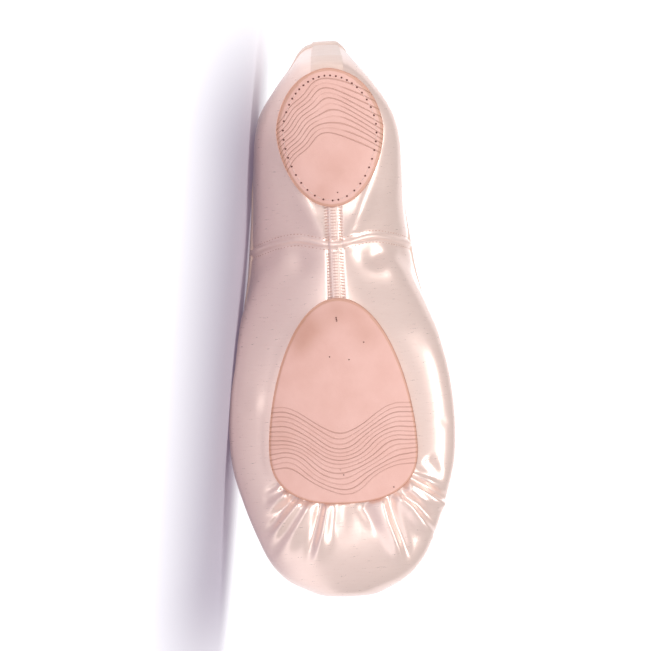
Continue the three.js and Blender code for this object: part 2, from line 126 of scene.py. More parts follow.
# The last's sections from the heel's back to the toe's tip, in shares of the length, of half the ball's width and
# of the local height
SECTION_NAMES = ("at", "side", "lift", "belly", "crown", "low", "high", "lean")
SECTIONS = np.array(
    [
        (0.0, 0.1, 0.93, 1.02, 1.3, 2.2, 2.4, 0.1),
        (0.005, 0.15, 0.78, 0.98, 1.32, 2.3, 2.4, 0.09),
        (0.019, 0.205, 0.46, 0.82, 1.32, 2.4, 2.4, 0.08),
        (0.034, 0.25, 0.17, 0.62, 1.32, 2.6, 2.4, 0.08),
        (0.05, 0.305, 0.028, 0.5, 1.32, 2.9, 2.5, 0.08),
        (0.079, 0.421, 0.0, 0.46, 1.32, 3.3, 2.5, 0.08),
        (0.125, 0.567, 0.0, 0.45, 1.31, 3.6, 2.6, 0.08),
        (0.175, 0.641, 0.0, 0.47, 1.31, 3.6, 2.6, 0.08),
        (0.242, 0.662, 0.008, 0.53, 1.29, 3.0, 2.6, 0.08),
        (0.308, 0.674, 0.055, 0.62, 1.26, 2.2, 2.5, 0.08),
        (0.367, 0.703, 0.107, 0.68, 1.22, 1.8, 2.4, 0.07),
        (0.425, 0.74, 0.09, 0.66, 1.17, 1.95, 2.3, 0.06),
        (0.483, 0.808, 0.045, 0.54, 1.12, 2.3, 2.3, 0.04),
        (0.542, 0.888, 0.012, 0.41, 1.07, 2.8, 2.3, 0.02),
        (0.608, 0.968, 0.0, 0.34, 1.02, 3.3, 2.3, 0.0),
        (0.683, 1.0, 0.0, 0.32, 0.985, 3.5, 2.3, 0.0),
        (0.758, 0.982, 0.0, 0.32, 0.95, 3.5, 2.3, 0.0),
        (0.825, 0.898, 0.006, 0.33, 0.91, 3.3, 2.4, 0.0),
        (0.883, 0.797, 0.027, 0.35, 0.865, 3.2, 2.5, 0.0),
        (0.933, 0.685, 0.066, 0.38, 0.82, 3.0, 2.6, 0.0),
        (0.967, 0.54, 0.118, 0.42, 0.78, 2.8, 2.6, 0.0),
        (0.988, 0.35, 0.185, 0.455, 0.73, 2.6, 2.6, 0.0),
        (0.997, 0.24, 0.25, 0.47, 0.675, 2.5, 2.5, 0.0),
        (1.0, 0.13, 0.34, 0.475, 0.6, 2.3, 2.3, 0.0),
    ]
)
LAST_ROW = len(SECTIONS) - 1


def smoothstep(value: np.ndarray | float, low: float, high: float) -> np.ndarray:
    """A soft step from 0 at low to 1 at high."""
    share = np.clip((np.asarray(value, float) - low) / (high - low), 0, 1)
    return share * share * (3 - 2 * share)


def mix(a: np.ndarray | float, b: np.ndarray | float, share: np.ndarray | float) -> np.ndarray | float:
    """The value that lies a share of the way from a to b."""
    return a + (b - a) * share


def run_along(points: np.ndarray) -> np.ndarray:
    """The length run to each of a line of points, from the first."""
    return np.concatenate([[0], np.cumsum(np.linalg.norm(np.diff(points, axis=0), axis=1))])


def paired(starts: np.ndarray, ends: np.ndarray) -> np.ndarray:
    """Starts and ends by turns, two points for each stitch."""
    return np.stack([starts, ends], 1).reshape(-1, 3)


class Last:
    """The foot's form that every layer of the shoe is grown from."""

    dip = 0.6
    fine = 220
    tip_rise = 0.3

    def __init__(self, sizes: Sizes) -> None:
        """Keeps the sizes and a fine table of places for row_at."""
        self.sizes = sizes
        self._rows = np.linspace(0, LAST_ROW, 4001)
        self._shares = self.column("at", self._rows)

    def column(self, name: str, row: np.ndarray | float) -> np.ndarray:
        """A smooth curve through one column of the table.

        Args:
            name: the column's name.
            row: whole or broken row numbers.

        Returns:
            The column's value at each row number.
        """
        values = SECTIONS[:, SECTION_NAMES.index(name)]
        row = np.asarray(row, float)
        i = np.clip(np.floor(row).astype(int), 0, LAST_ROW - 1)
        t = row - i
        before, here = values[np.maximum(i - 1, 0)], values[i]
        there, after = values[i + 1], values[np.minimum(i + 2, LAST_ROW)]
        slope_in = (there - before) / np.where(i > 0, 2, 1)
        slope_out = (after - here) / np.where(i + 2 <= LAST_ROW, 2, 1)
        rest = 1 - t
        return (
            here * (1 + 2 * t) * rest**2
            + slope_in * t * rest**2
            + there * (3 - 2 * t) * t**2
            - slope_out * rest * t**2
        )

    def row_at(self, x: np.ndarray | float) -> np.ndarray:
        """The row number at a place along the foot, in millimetres."""
        return np.interp(np.asarray(x, float) / self.sizes.length, self._shares, self._rows)

    def section(self, row: np.ndarray | float) -> dict[str, np.ndarray]:
        """The sizes of the section at a row number, in millimetres."""
        share = self.column("at", row)
        height = mix(self.sizes.heel_height, self.sizes.vamp_height, smoothstep(share, 0.35, 0.6))
        return {
            "x": share * self.sizes.length,
            "side": self.column("side", row) * self.sizes.half_ball,
            "keel": self.sizes.stack + np.maximum(0, self.column("lift", row)) * height,
            "belly": self.column("belly", row) * height,
            "crown": self.column("crown", row) * height,
            "low": self.column("low", row),
            "high": self.column("high", row),
            "lean": self.column("lean", row) * self.sizes.half_ball,
        }

    def point(self, s: dict[str, np.ndarray], turn: np.ndarray, side: np.ndarray | float) -> np.ndarray:
        """Points of a section.

        Args:
            s: the section's sizes.
            turn: from -90 degrees, under the foot, through 0 at the side to 90 on top, in radians.
            side: 1 for the left half and -1 for the right.

        Returns:
            Points, one row of x, y and z each.
        """
        under = turn < 0
        power = 2 / np.where(under, s["low"], s["high"])
        across = np.abs(np.cos(turn)) ** power
        up = np.abs(np.sin(turn)) ** power
        z = np.where(under, s["belly"] - (s["belly"] - s["keel"]) * up, s["belly"] + (s["crown"] - s["belly"]) * up)
        sag = s["lean"] * np.clip((z - s["keel"]) / (s["crown"] - s["keel"]), 0, 1)
        return np.stack(np.broadcast_arrays(s["x"], side * s["side"] * across + sag, z), -1)

    def turn_at(self, s: dict[str, np.ndarray], z: np.ndarray) -> np.ndarray:
        """The turn at which a section reaches a height."""
        below = np.clip((s["belly"] - z) / (s["belly"] - s["keel"]), 0, 1) ** (s["low"] / 2)
        above = np.clip((z - s["belly"]) / (s["crown"] - s["belly"]), 0, 1) ** (s["high"] / 2)
        return np.where(z < s["belly"], -np.arcsin(below), np.arcsin(above))

    def collar_height(self, x: np.ndarray | float, drop: float = 0.0) -> np.ndarray:
        """Height of the collar line at x; drop lowers it and moves the throat forward."""
        z = self.sizes
        throat = z.throat + drop
        t = np.asarray(x, float) / throat
        low = z.quarter_height - drop
        top = self.section(self.row_at(throat))["crown"]
        back = np.maximum(0, 1 - t / self.dip) ** 1.8
        front = 1 - np.sqrt(1 - np.clip((t - self.dip) / (1 - self.dip), 0, 1) ** 2.6)
        return low + (z.heel_height - z.quarter_height) * back + (top - low) * front

    def heel_row(self, drop: float) -> float:
        """The row at the heel's back where the collar line, lowered by drop, meets the surface's middle."""
        rows = np.linspace(0, 5, 2001)
        s = self.section(rows)
        return float(rows[np.argmax(s["keel"] < self.collar_height(s["x"], drop))])

    def limit(self, s: dict[str, np.ndarray], drop: float) -> np.ndarray:
        """The turn at which each section is cut by the collar line lowered by drop, or 90 degrees in front of it."""
        cut = self.turn_at(s, self.collar_height(s["x"], drop))
        return np.where(s["x"] < self.sizes.throat + drop, cut, math.pi / 2)

    def half_arc(self, row: float, side: int, top: float) -> tuple[np.ndarray, np.ndarray]:
        """One half of a section as a fine run of points, with the length run to each.

        Args:
            row: the row number; past the last row it is the toe's tip, closing to its middle.
            side: 1 for the left half and -1 for the right.
            top: the turn at which the half ends, in radians.

        Returns:
            The points and their lengths from the middle of the underside.
        """
        ease = (1 - np.cos(np.linspace(0, math.pi, self.fine))) / 2
        if top > 0:
            turns = np.concatenate([-math.pi / 2 * (1 - ease), top * ease[1:]])
        else:
            turns = mix(-math.pi / 2, top, ease)
        points = self.point(self.section(min(row, LAST_ROW)), turns, side)
        run = run_along(points)
        return points, run

    def ring(self, row: float, spread: np.ndarray, drop: float | None) -> tuple[np.ndarray, np.ndarray]:
        """A section's points from the right side's top by the underside to the left side's top.

        Args:
            row: the row number.
            spread: shares of each half's length, from -1 at the right top to 1 at the left.
            drop: how far the collar line is lowered, or None for the whole section.

        Returns:
            The points, and each one's signed run from the middle of the underside.
        """
        whole = drop is None
        top = math.pi / 2 if whole else float(self.limit(self.section(min(row, LAST_ROW)), drop))
        points = np.zeros((len(spread), 3))
        signed = np.zeros(len(spread))
        for side in (-1, 1):
            here = (spread < 0) if side < 0 else (spread >= 0)
            fine, run = self.half_arc(row, side, top)
            wanted = np.abs(spread[here]) * run[-1]
            points[here] = np.stack([np.interp(wanted, run, fine[:, k]) for k in range(3)], 1)
            signed[here] = side * wanted
        if row > LAST_ROW:
            close = row - LAST_ROW
            middle = points.mean(0)
            points = middle + (points - middle) * (1 - close)
            points[:, 0] += self.tip_rise * (1 - (1 - close) ** 2)
        return points, signed

    def at_arc(self, row: float, arcs: np.ndarray) -> np.ndarray:
        """Points of the whole section at signed runs from the middle of the underside, in millimetres."""
        points = np.zeros((len(arcs), 3))
        for side in (-1, 1):
            here = (arcs < 0) if side < 0 else (arcs >= 0)
            fine, run = self.half_arc(row, side, math.pi / 2)
            points[here] = np.stack([np.interp(np.abs(arcs[here]), run, fine[:, k]) for k in range(3)], 1)
        return points

    def underside(self, x: np.ndarray, y: np.ndarray) -> np.ndarray:
        """Height of the underside over places in plan."""
        s = self.section(self.row_at(x))
        z = s["keel"]
        for _ in range(3):
            sag = s["lean"] * np.clip((z - s["keel"]) / (s["crown"] - s["keel"]), 0, 1)
            across = np.clip(np.abs(y - sag) / s["side"], 0, 1) ** (s["low"] / 2)
            up = np.sqrt(np.maximum(0, 1 - across**2)) ** (2 / s["low"])
            z = s["belly"] - (s["belly"] - s["keel"]) * up
        return z

    def under(self, x: np.ndarray, y: np.ndarray) -> tuple[np.ndarray, np.ndarray]:
        """Points of the underside over places in plan, and the outward normals there."""
        e = 0.4
        slope_x = (self.underside(x + e, y) - self.underside(x - e, y)) / (2 * e)
        slope_y = (self.underside(x, y + e) - self.underside(x, y - e)) / (2 * e)
        normal = np.stack([slope_x, slope_y, -np.ones_like(slope_x)], -1)
        normal /= np.linalg.norm(normal, axis=-1, keepdims=True)
        return np.stack([x, y, self.underside(x, y)], -1), normal

    def wall(self, x: np.ndarray) -> np.ndarray:
        """Thickness of the upper's wall along the foot."""
        share = smoothstep(x, 0.5 * self.sizes.length, 0.66 * self.sizes.length)
        return mix(self.sizes.satin_wall, self.sizes.box_wall, share)


def surface_normals(points: np.ndarray) -> np.ndarray:
    """Outward normals of a grid of surface points, rows along the foot and columns from right to left."""
    along = np.gradient(points, axis=0)
    around = np.gradient(points, axis=1)
    normal = np.cross(around, along)
    size = np.linalg.norm(normal, axis=-1, keepdims=True)
    normal = np.where(size > 1e-9, normal / np.maximum(size, 1e-9), 0)
    for order in (range(1, len(normal)), range(len(normal) - 2, -1, -1)):
        for i in order:
            flat = np.linalg.norm(normal[i], axis=-1) < 0.5
            normal[i][flat] = normal[i - 1 if order.step > 0 else i + 1][flat]
    return normal


# ---------------------------------------------------------------------------------------------------------------
# Relief of the satin: creases placed one by one
# ---------------------------------------------------------------------------------------------------------------


@dataclass(frozen=True)
class Crease:
    """A ridge or trough in the satin under the foot, drawn in plan.

    path: its points, x and y each. rise: its height, negative for a trough. spread: its half width. steep: 1 if
    its left flank is the sharp one, -1 if the right one is, 0 if both are soft. fade: the shares of its length
    over which it comes and goes. trough: depth of the little valley at the foot of the sharp flank, as a share.
    """

    path: tuple[tuple[float, float], ...]
    rise: float
    spread: float
    steep: int = 0
    fade: tuple[float, float] = (0.15, 0.55)
    trough: float = 0.45

    def relief(self, x: np.ndarray, y: np.ndarray) -> np.ndarray:
        """The crease's height over places in plan, in millimetres."""
        path = np.array(self.path, float)
        steps = np.linalg.norm(np.diff(path, axis=0), axis=1)
        total = steps.sum()
        best = np.full(x.shape, 1e9)
        off = np.zeros(x.shape)
        share = np.zeros(x.shape)
        run = 0.0
        for k, step in enumerate(steps):
            along = (path[k + 1] - path[k]) / step
            dx, dy = x - path[k, 0], y - path[k, 1]
            place = dx * along[0] + dy * along[1]
            low = -1e9 if k == 0 else 0.0
            high = 1e9 if k == len(steps) - 1 else step
            held = np.clip(place, low, high)
            distance = np.hypot(dx - held * along[0], dy - held * along[1])
            nearer = distance < best
            best = np.where(nearer, distance, best)
            off = np.where(nearer, np.sign(-dx * along[1] + dy * along[0]) * distance, off)
            share = np.where(nearer, (run + held) / total, share)
            run += step
        come, go = self.fade
        ends = smoothstep(share, -come, come) * (1 - smoothstep(share, 1 - go, 1 + 0.35 * go))
        if self.steep == 0:
            return self.rise * ends * np.exp(-((off / self.spread) ** 2))
        off = off * self.steep
        spread = self.spread * np.where(off > 0, 0.5, 1.4)
        ridge = np.exp(-((off / spread) ** 2))
        valley = np.exp(-(((off - 1.15 * self.spread) / (0.6 * self.spread)) ** 2))
        return self.rise * ends * (ridge - self.trough * valley)


# The gathers round the front of the forefoot sole, from the left side to the right
GATHERS = (
    Crease(((191.5, 27.5), (195.0, 33.5)), 0.7, 1.8, 1),
    Crease(((193.8, 25.1), (199.2, 33.3)), 1.2, 2.3, 1),
    Crease(((195.7, 22.0), (204.3, 34.1)), -0.9, 1.6),
    Crease(((197.6, 19.5), (206.0, 27.0), (213.0, 33.1)), 1.7, 2.6, 1, (0.1, 0.45)),
    Crease(((198.7, 14.9), (210.0, 22.5), (221.5, 30.2)), 1.3, 3.0, 1, (0.1, 0.6)),
    Crease(((199.2, 7.6), (211.0, 10.6), (222.4, 14.1)), 1.5, 2.7, 1, (0.1, 0.5)),
    Crease(((199.4, 5.0), (214.0, 7.0)), -0.5, 2.2),
    Crease(((199.5, 1.0), (212.0, 1.5)), 0.35, 3.2, 0, (0.1, 0.8)),
    Crease(((199.7, -6.8), (211.6, -13.3)), -0.8, 2.6),
    Crease(((199.4, -11.0), (212.0, -17.0)), 0.5, 2.6, 0, (0.1, 0.7)),
    Crease(((197.9, -15.5), (207.5, -17.8), (217.4, -21.1), (225.5, -23.4)), 1.7, 2.8, -1, (0.08, 0.4)),
    Crease(((196.9, -22.0), (202.2, -28.2), (215.4, -37.6)), 1.4, 2.7, -1, (0.1, 0.4)),
    Crease(((193.5, -26.5), (201.0, -35.0)), 0.8, 2.2, -1),
    Crease(((191.4, -27.0), (201.2, -41.6), (205.0, -43.6)), 1.6, 2.5, -1, (0.1, 0.3), 0.75),
    Crease(((188.2, -29.3), (193.5, -41.4)), 1.0, 2.1, -1),
    Crease(((181.5, -35.5), (190.5, -42.0)), -0.7, 2.2),
    Crease(((215.4, -37.6), (221.1, -38.9)), 0.5, 1.6),
)

# The stiff board's edges, the heel's ridges and the hollows of the arch
FRAMES = (
    Crease(((92.0, 21.5), (108.0, 32.5), (125.0, 41.5), (143.0, 46.0)), 1.5, 5.5, 0, (0.12, 0.4)),
    Crease(((93.5, -20.5), (110.0, -31.5), (127.0, -41.0), (145.0, -45.5)), 1.5, 5.5, 0, (0.12, 0.4)),
    Crease(((40.0, 23.5), (58.0, 17.0), (76.0, 8.5), (86.0, 4.5)), 1.3, 4.2, 0, (0.2, 0.3)),
    Crease(((41.0, -22.5), (59.0, -17.0), (77.0, -10.0), (86.0, -7.0)), 1.3, 4.2, 0, (0.2, 0.3)),
    Crease(((70.0, 22.0), (84.0, 18.0)), -0.7, 6.0, 0, (0.4, 0.4)),
    Crease(((70.0, -22.0), (84.0, -19.0)), -0.7, 6.0, 0, (0.4, 0.4)),
    Crease(((90.5, 17.5), (101.0, 13.0)), -1.3, 4.5, 0, (0.4, 0.6)),
    Crease(((90.5, -18.5), (99.0, -15.0)), -1.3, 4.5, 0, (0.4, 0.6)),
    Crease(((88.0, 31.0), (97.0, 27.0)), -0.8, 4.5, 0, (0.4, 0.6)),
    Crease(((88.0, -31.0), (99.0, -29.0)), -0.6, 4.5, 0, (0.4, 0.6)),
    Crease(((165.0, -42.0), (168.0, -46.5)), -0.4, 2.0, 0, (0.4, 0.6)),
    Crease(((150.0, 36.0), (160.0, 38.5)), 0.35, 3.0, 0, (0.5, 0.5)),
)


@dataclass(frozen=True)
class ArchSeamLine:
    """The line of the seam across the arch: x over the run from the middle of the underside."""

    runs: tuple[float, ...] = (-75.0, -42.0, -28.0, -17.0, -8.0, 0.0, 8.0, 17.0, 28.0, 42.0, 75.0)
    places: tuple[float, ...] = (92.0, 88.6, 86.6, 85.4, 87.2, 89.0, 87.4, 85.6, 86.8, 89.6, 92.5)

    def x(self, run: np.ndarray) -> np.ndarray:
        """The seam's place along the foot at signed runs from the middle of the underside."""
        wide = np.linspace(self.runs[0], self.runs[-1], 400)
        rough = np.interp(wide, self.runs, self.places)
        kernel = np.hanning(41)
        soft = np.convolve(np.pad(rough, 20, mode="edge"), kernel / kernel.sum(), "valid")
        return np.interp(run, wide, soft)


ARCH_LINE = ArchSeamLine()


class SatinRelief:
    """All that stands out of or sinks into the satin, over places given in plan and by run."""

    # turns and places between which the satin counts as facing the ground, or as the toe's front
    under_turn = (-0.3, 0.25)
    under_height = (24, 34)
    toe_turn = (-0.1, 0.6)
    toe_reach = (222, 236)
    gather_rise = 1.45
    # the pull on each side of the seam across the arch, and the broad hollow along it
    pulled_off, pulled_spread = 2.3, 0.9
    hollow, hollow_spread = 0.7, 9.0
    hollow_from, hollow_to = (4, 14), (26, 40)
    # the seam along the arch
    along_from, along_to = (66, 72), (116, 122)
    seam_rise = 0.7
    seam_spread = 1.25
    seam_trough = 0.45

    def height(self, points: np.ndarray, normals: np.ndarray, run: np.ndarray) -> np.ndarray:
        """The relief at surface points.

        Args:
            points: points of the smooth surface, in the shoe's frame.
            normals: their outward normals.
            run: their signed runs from the middle of the underside.

        Returns:
            How far each point moves outwards, in millimetres.
        """
        x, y, z = points[..., 0], points[..., 1], points[..., 2]
        down = -normals[..., 2]
        facing_down = smoothstep(down, *self.under_turn) * (1 - smoothstep(z, *self.under_height))
        facing_toe = smoothstep(down, *self.toe_turn) * (1 - smoothstep(x, *self.toe_reach))
        relief = self.gather_rise * sum(crease.relief(x, y) for crease in GATHERS) * facing_down * facing_toe
        relief = relief + sum(crease.relief(x, y) for crease in FRAMES) * facing_down
        relief = relief + self.arch_seam(x, run) + self.centre_seams(x, run)
        return relief

    def arch_seam(self, x: np.ndarray, run: np.ndarray) -> np.ndarray:
        """The turned seam's ridge with a line pulled in on each side."""
        off = x - ARCH_LINE.x(run)
        ridge = self.seam_rise * np.exp(-((off / self.seam_spread) ** 2))
        pulled = self.seam_trough * np.exp(-(((np.abs(off) - self.pulled_off) / self.pulled_spread) ** 2))
        flank = smoothstep(np.abs(run), *self.hollow_from) * (1 - smoothstep(np.abs(run), *self.hollow_to))
        broad = -self.hollow * np.exp(-((off / self.hollow_spread) ** 2)) * flank
        return ridge - pulled + broad

    def centre_seams(self, x: np.ndarray, run: np.ndarray) -> np.ndarray:
        """The flat-felled seam along the middle of the arch, between the soles."""
        along = smoothstep(x, *self.along_from) * (1 - smoothstep(x, *self.along_to))
        band = 0.35 * (1 - smoothstep(np.abs(run), 1.9, 2.7))
        pulled = 0.3 * np.exp(-(((np.abs(run) - 2.9) / 0.7) ** 2))
        return along * (band - pulled)


# ---------------------------------------------------------------------------------------------------------------
# Lying down: from the shoe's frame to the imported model's
# ---------------------------------------------------------------------------------------------------------------


class Lie:
    """The turn on to the left side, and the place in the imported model's frame."""

    def __init__(self, last: Last) -> None:
        """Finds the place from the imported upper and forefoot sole, which it must meet."""
        self.last = last
        sizes = last.sizes
        roll, pitch = math.radians(-90 - sizes.roll), math.radians(sizes.pitch)
        self.turn = np.array(Matrix.Rotation(pitch, 3, "Y") @ Matrix.Rotation(roll, 3, "X"))
        self.shift = np.zeros(3)
        upper_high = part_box("upper")[1]
        sole_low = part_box("forefoot_sole")[0]
        rows = np.concatenate([np.linspace(14, LAST_ROW, 200), [LAST_ROW + 1]])
        box = self.place(np.concatenate([last.ring(r, np.linspace(-1, 1, 181), 0)[0] for r in rows]), flat=False)
        x = np.linspace(112, 198, 87)
        soles = self.place(np.stack([x, 0 * x, 0 * x], -1), flat=False)
        self.shift = np.array(
            [
                upper_high.x / MM - box[:, 0].max(),
                sole_low.y / MM - soles[:, 1].min(),
                upper_high.z / MM - box[:, 2].max(),
            ]
        )

    def room(self, x: np.ndarray) -> np.ndarray:
        """Room that the upper leaves to the floor for the binding, behind the box."""
        sizes = self.last.sizes
        return sizes.binding_rise * (1 - smoothstep(x, 0.9 * sizes.throat, sizes.throat))

    def place(self, points: np.ndarray, grow: np.ndarray | float = 0.0, flat: bool = True) -> np.ndarray:
        """Moves points from the shoe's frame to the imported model's, both in millimetres.

        Args:
            points: points in the shoe's frame.
            grow: how far each lies outside the upper's own surface.
            flat: True to press what would sink into the floor up to it.

        Returns:
            The points where the shoe lies.
        """
        placed = points @ self.turn.T + self.shift
        if flat:
            lowest = np.maximum(self.room(points[..., 0]) - grow, 0.02)
            placed[..., 2] = np.maximum(placed[..., 2], lowest)
        return placed


class Skin:
    """The satin's surface, looked up by place along the foot and signed run from the middle of the underside."""

    reach = 118

    def __init__(self, last: Last, lie: Lie, relief: SatinRelief) -> None:
        """Samples the last on a fine grid, once."""
        self.lie, self.relief = lie, relief
        self.x = np.linspace(0.6, last.sizes.length - 0.6, 480)
        self.run = np.arange(-self.reach, self.reach + 1.0)
        self.points = np.stack([last.at_arc(float(last.row_at(x)), self.run) for x in self.x])
        self.normals = surface_normals(self.points)
        if np.mean(self.normals[:, self.reach, 2]) > 0:
            self.normals = -self.normals

    def smooth(self, x: np.ndarray, run: np.ndarray) -> tuple[np.ndarray, np.ndarray]:
        """Points and outward normals of the smooth surface."""
        i = np.clip((x - self.x[0]) / (self.x[1] - self.x[0]), 0, len(self.x) - 1.001)
        j = np.clip(run + self.reach, 0, 2 * self.reach - 0.001)
        a, b = i.astype(int), j.astype(int)
        u, v = (i - a)[..., None], (j - b)[..., None]
        made = []
        for grid in (self.points, self.normals):
            low = mix(grid[a, b], grid[a, b + 1], v)
            high = mix(grid[a + 1, b], grid[a + 1, b + 1], v)
            made.append(mix(low, high, u))
        normal = made[1] / np.maximum(np.linalg.norm(made[1], axis=-1, keepdims=True), 1e-9)
        return made[0], normal

    def satin(self, x: np.ndarray, run: np.ndarray, rise: np.ndarray | float = 0.0) -> np.ndarray:
        """Points on the satin with all its relief, a distance outside it, where the shoe lies."""
        x, run = np.broadcast_arrays(np.asarray(x, float), np.asarray(run, float))
        points, normals = self.smooth(x, run)
        height = self.relief.height(points, normals, run) + rise
        return self.lie.place(points + normals * height[..., None], np.broadcast_to(rise, x.shape))


LAST = Last(SIZES)
LIE = Lie(LAST)
RELIEF = SatinRelief()
SKIN = Skin(LAST, LIE, RELIEF)


# ---------------------------------------------------------------------------------------------------------------
# Bench: making meshes with Blender's own tools
# ---------------------------------------------------------------------------------------------------------------


class Bench:
    """The few ways in which pieces are made, joined and finished."""

    @staticmethod
    def clear() -> None:
        """Deselects everything, in object mode."""
        if bpy.context.object and bpy.context.object.mode != "OBJECT":
            bpy.ops.object.mode_set(mode="OBJECT")
        bpy.ops.object.select_all(action="DESELECT")

    @staticmethod
    def use(piece: bpy.types.Object) -> None:
        """Makes a piece the one that operators act on."""
        Bench.clear()
        piece.select_set(True)
        bpy.context.view_layer.objects.active = piece

    @staticmethod
    def edit(step: Callable[[], object]) -> None:
        """Runs one edit-mode operator over the whole of the active piece."""
        bpy.ops.object.mode_set(mode="EDIT")
        bpy.ops.mesh.select_all(action="SELECT")
        step()
        bpy.ops.object.mode_set(mode="OBJECT")

    @staticmethod
    def sheet(
        name: str,
        points: np.ndarray,
        uv: np.ndarray | None = None,
        weld: float = 0.02,
        outwards: bool = True,
    ) -> bpy.types.Object:
        """A grid laid over surface points, welded where its edges meet.

        Args:
            name: the piece's name.
            points: rows by columns of points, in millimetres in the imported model's frame.
            uv: each point's place on the cloth or leather, in millimetres, or None.
            weld: how near points are joined, in millimetres.
            outwards: True if columns by rows already turn outwards.

        Returns:
            The new piece.
        """
        rows, columns = points.shape[:2]
        Bench.clear()
        bpy.ops.mesh.primitive_grid_add(x_subdivisions=columns - 1, y_subdivisions=rows - 1, size=2, location=(0, 0, 0))
        piece = bpy.context.object
        piece.name = piece.data.name = name
        flat = np.zeros(len(piece.data.vertices) * 3)
        piece.data.vertices.foreach_get("co", flat)
        flat = flat.reshape(-1, 3)
        column = np.rint((flat[:, 0] + 1) / 2 * (columns - 1)).astype(int)
        row = np.rint((flat[:, 1] + 1) / 2 * (rows - 1)).astype(int)
        if uv is not None:
            corners = np.zeros(len(piece.data.loops), np.int32)
            piece.data.loops.foreach_get("vertex_index", corners)
            laid = uv[row[corners], column[corners]].astype(np.float32)
            piece.data.uv_layers[0].data.foreach_set("uv", laid.ravel())
        piece.data.vertices.foreach_set("co", (points[row, column] * MM).ravel())
        if not outwards:
            Bench.edit(bpy.ops.mesh.flip_normals)
        Bench.edit(lambda: bpy.ops.mesh.remove_doubles(threshold=weld * MM))
        piece.data.update()
        return piece

    @staticmethod
    def drop_faces(piece: bpy.types.Object, chosen: Callable[[np.ndarray], np.ndarray]) -> None:
        """Deletes the faces whose centres are chosen.

        Args:
            piece: the piece to cut.
            chosen: takes face centres in metres, and says which of them go.
        """
        centres = np.zeros(len(piece.data.polygons) * 3)
        piece.data.polygons.foreach_get("center", centres)
        Bench.use(piece)
        bpy.ops.object.mode_set(mode="EDIT")
        bpy.ops.mesh.select_mode(type="FACE")
        bpy.ops.mesh.select_all(action="DESELECT")
        bpy.ops.object.mode_set(mode="OBJECT")
        piece.data.polygons.foreach_set("select", chosen(centres.reshape(-1, 3)))
        bpy.ops.object.mode_set(mode="EDIT")
        bpy.ops.mesh.delete(type="FACE")
        bpy.ops.mesh.select_mode(type="VERT")
        bpy.ops.object.mode_set(mode="OBJECT")

    @staticmethod
    def number(piece: bpy.types.Object, name: str, values: np.ndarray) -> None:
        """Keeps one number for each vertex under a name that its material reads."""
        piece.data.attributes.new(name, "FLOAT", "POINT").data.foreach_set("value", values.astype(np.float32))

    @staticmethod
    def vertices(piece: bpy.types.Object) -> np.ndarray:
        """A piece's vertices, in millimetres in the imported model's frame."""
        flat = np.zeros(len(piece.data.vertices) * 3)
        piece.data.vertices.foreach_get("co", flat)
        return flat.reshape(-1, 3) / MM

    @staticmethod
    def repeat(name: str, model: bpy.types.Object, frames: Sequence[np.ndarray]) -> bpy.types.Object:
        """Copies one small model to many places, as one piece, and removes the model.

        Args:
            name: the piece's name.
            model: the shape to copy, in millimetres about its own origin.
            frames: a 4 by 4 matrix for each copy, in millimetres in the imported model's frame.

        Returns:
            The piece that holds all the copies.
        """
        corners = Bench.vertices(model) * MM
        corners = np.c_[corners, np.ones(len(corners))]
        faces = [tuple(face.vertices) for face in model.data.polygons]
        placed = np.concatenate([corners @ frame.T for frame in frames])[:, :3] * MM
        count = len(corners)
        copies = [tuple(v + k * count for v in face) for k in range(len(frames)) for face in faces]
        Bench.clear()
        mesh = bpy.data.meshes.new(name)
        mesh.from_pydata(placed.tolist(), [], copies)
        piece = bpy.data.objects.new(name, mesh)
        bpy.context.scene.collection.objects.link(piece)
        bpy.data.objects.remove(model)
        return piece

    @staticmethod
    def join(name: str, pieces: Sequence[bpy.types.Object]) -> bpy.types.Object:
        """Joins pieces of one finish into one."""
        Bench.clear()
        for piece in pieces:
            piece.select_set(True)
        bpy.context.view_layer.objects.active = pieces[0]
        if len(pieces) > 1:
            bpy.ops.object.join()
        joined = bpy.context.object
        joined.name = joined.data.name = name
        return joined

    @staticmethod
    def finish(
        piece: bpy.types.Object,
        material: bpy.types.Material,
        slot: str,
        replaces: Sequence[str] = (),
        crisp: float = 60.0,
    ) -> bpy.types.Object:
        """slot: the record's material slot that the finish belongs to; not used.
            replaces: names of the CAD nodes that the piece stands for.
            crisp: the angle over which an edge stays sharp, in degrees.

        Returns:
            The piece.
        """
        piece.data.materials.clear()
        piece.data.materials.append(material)
        Bench.use(piece)
        bpy.ops.object.shade_smooth_by_angle(angle=math.radians(crisp))
        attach(piece, "root")
        if replaces:
            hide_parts(*replaces)
        log.info("%s: %d faces", piece.name, len(piece.data.polygons))
        return piece


def from_lying(points: np.ndarray) -> np.ndarray:
    """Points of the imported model's frame in the shoe's own, both in millimetres."""
    return (points - LIE.shift) @ LIE.turn


# ---------------------------------------------------------------------------------------------------------------
# Shader node groups
# ---------------------------------------------------------------------------------------------------------------


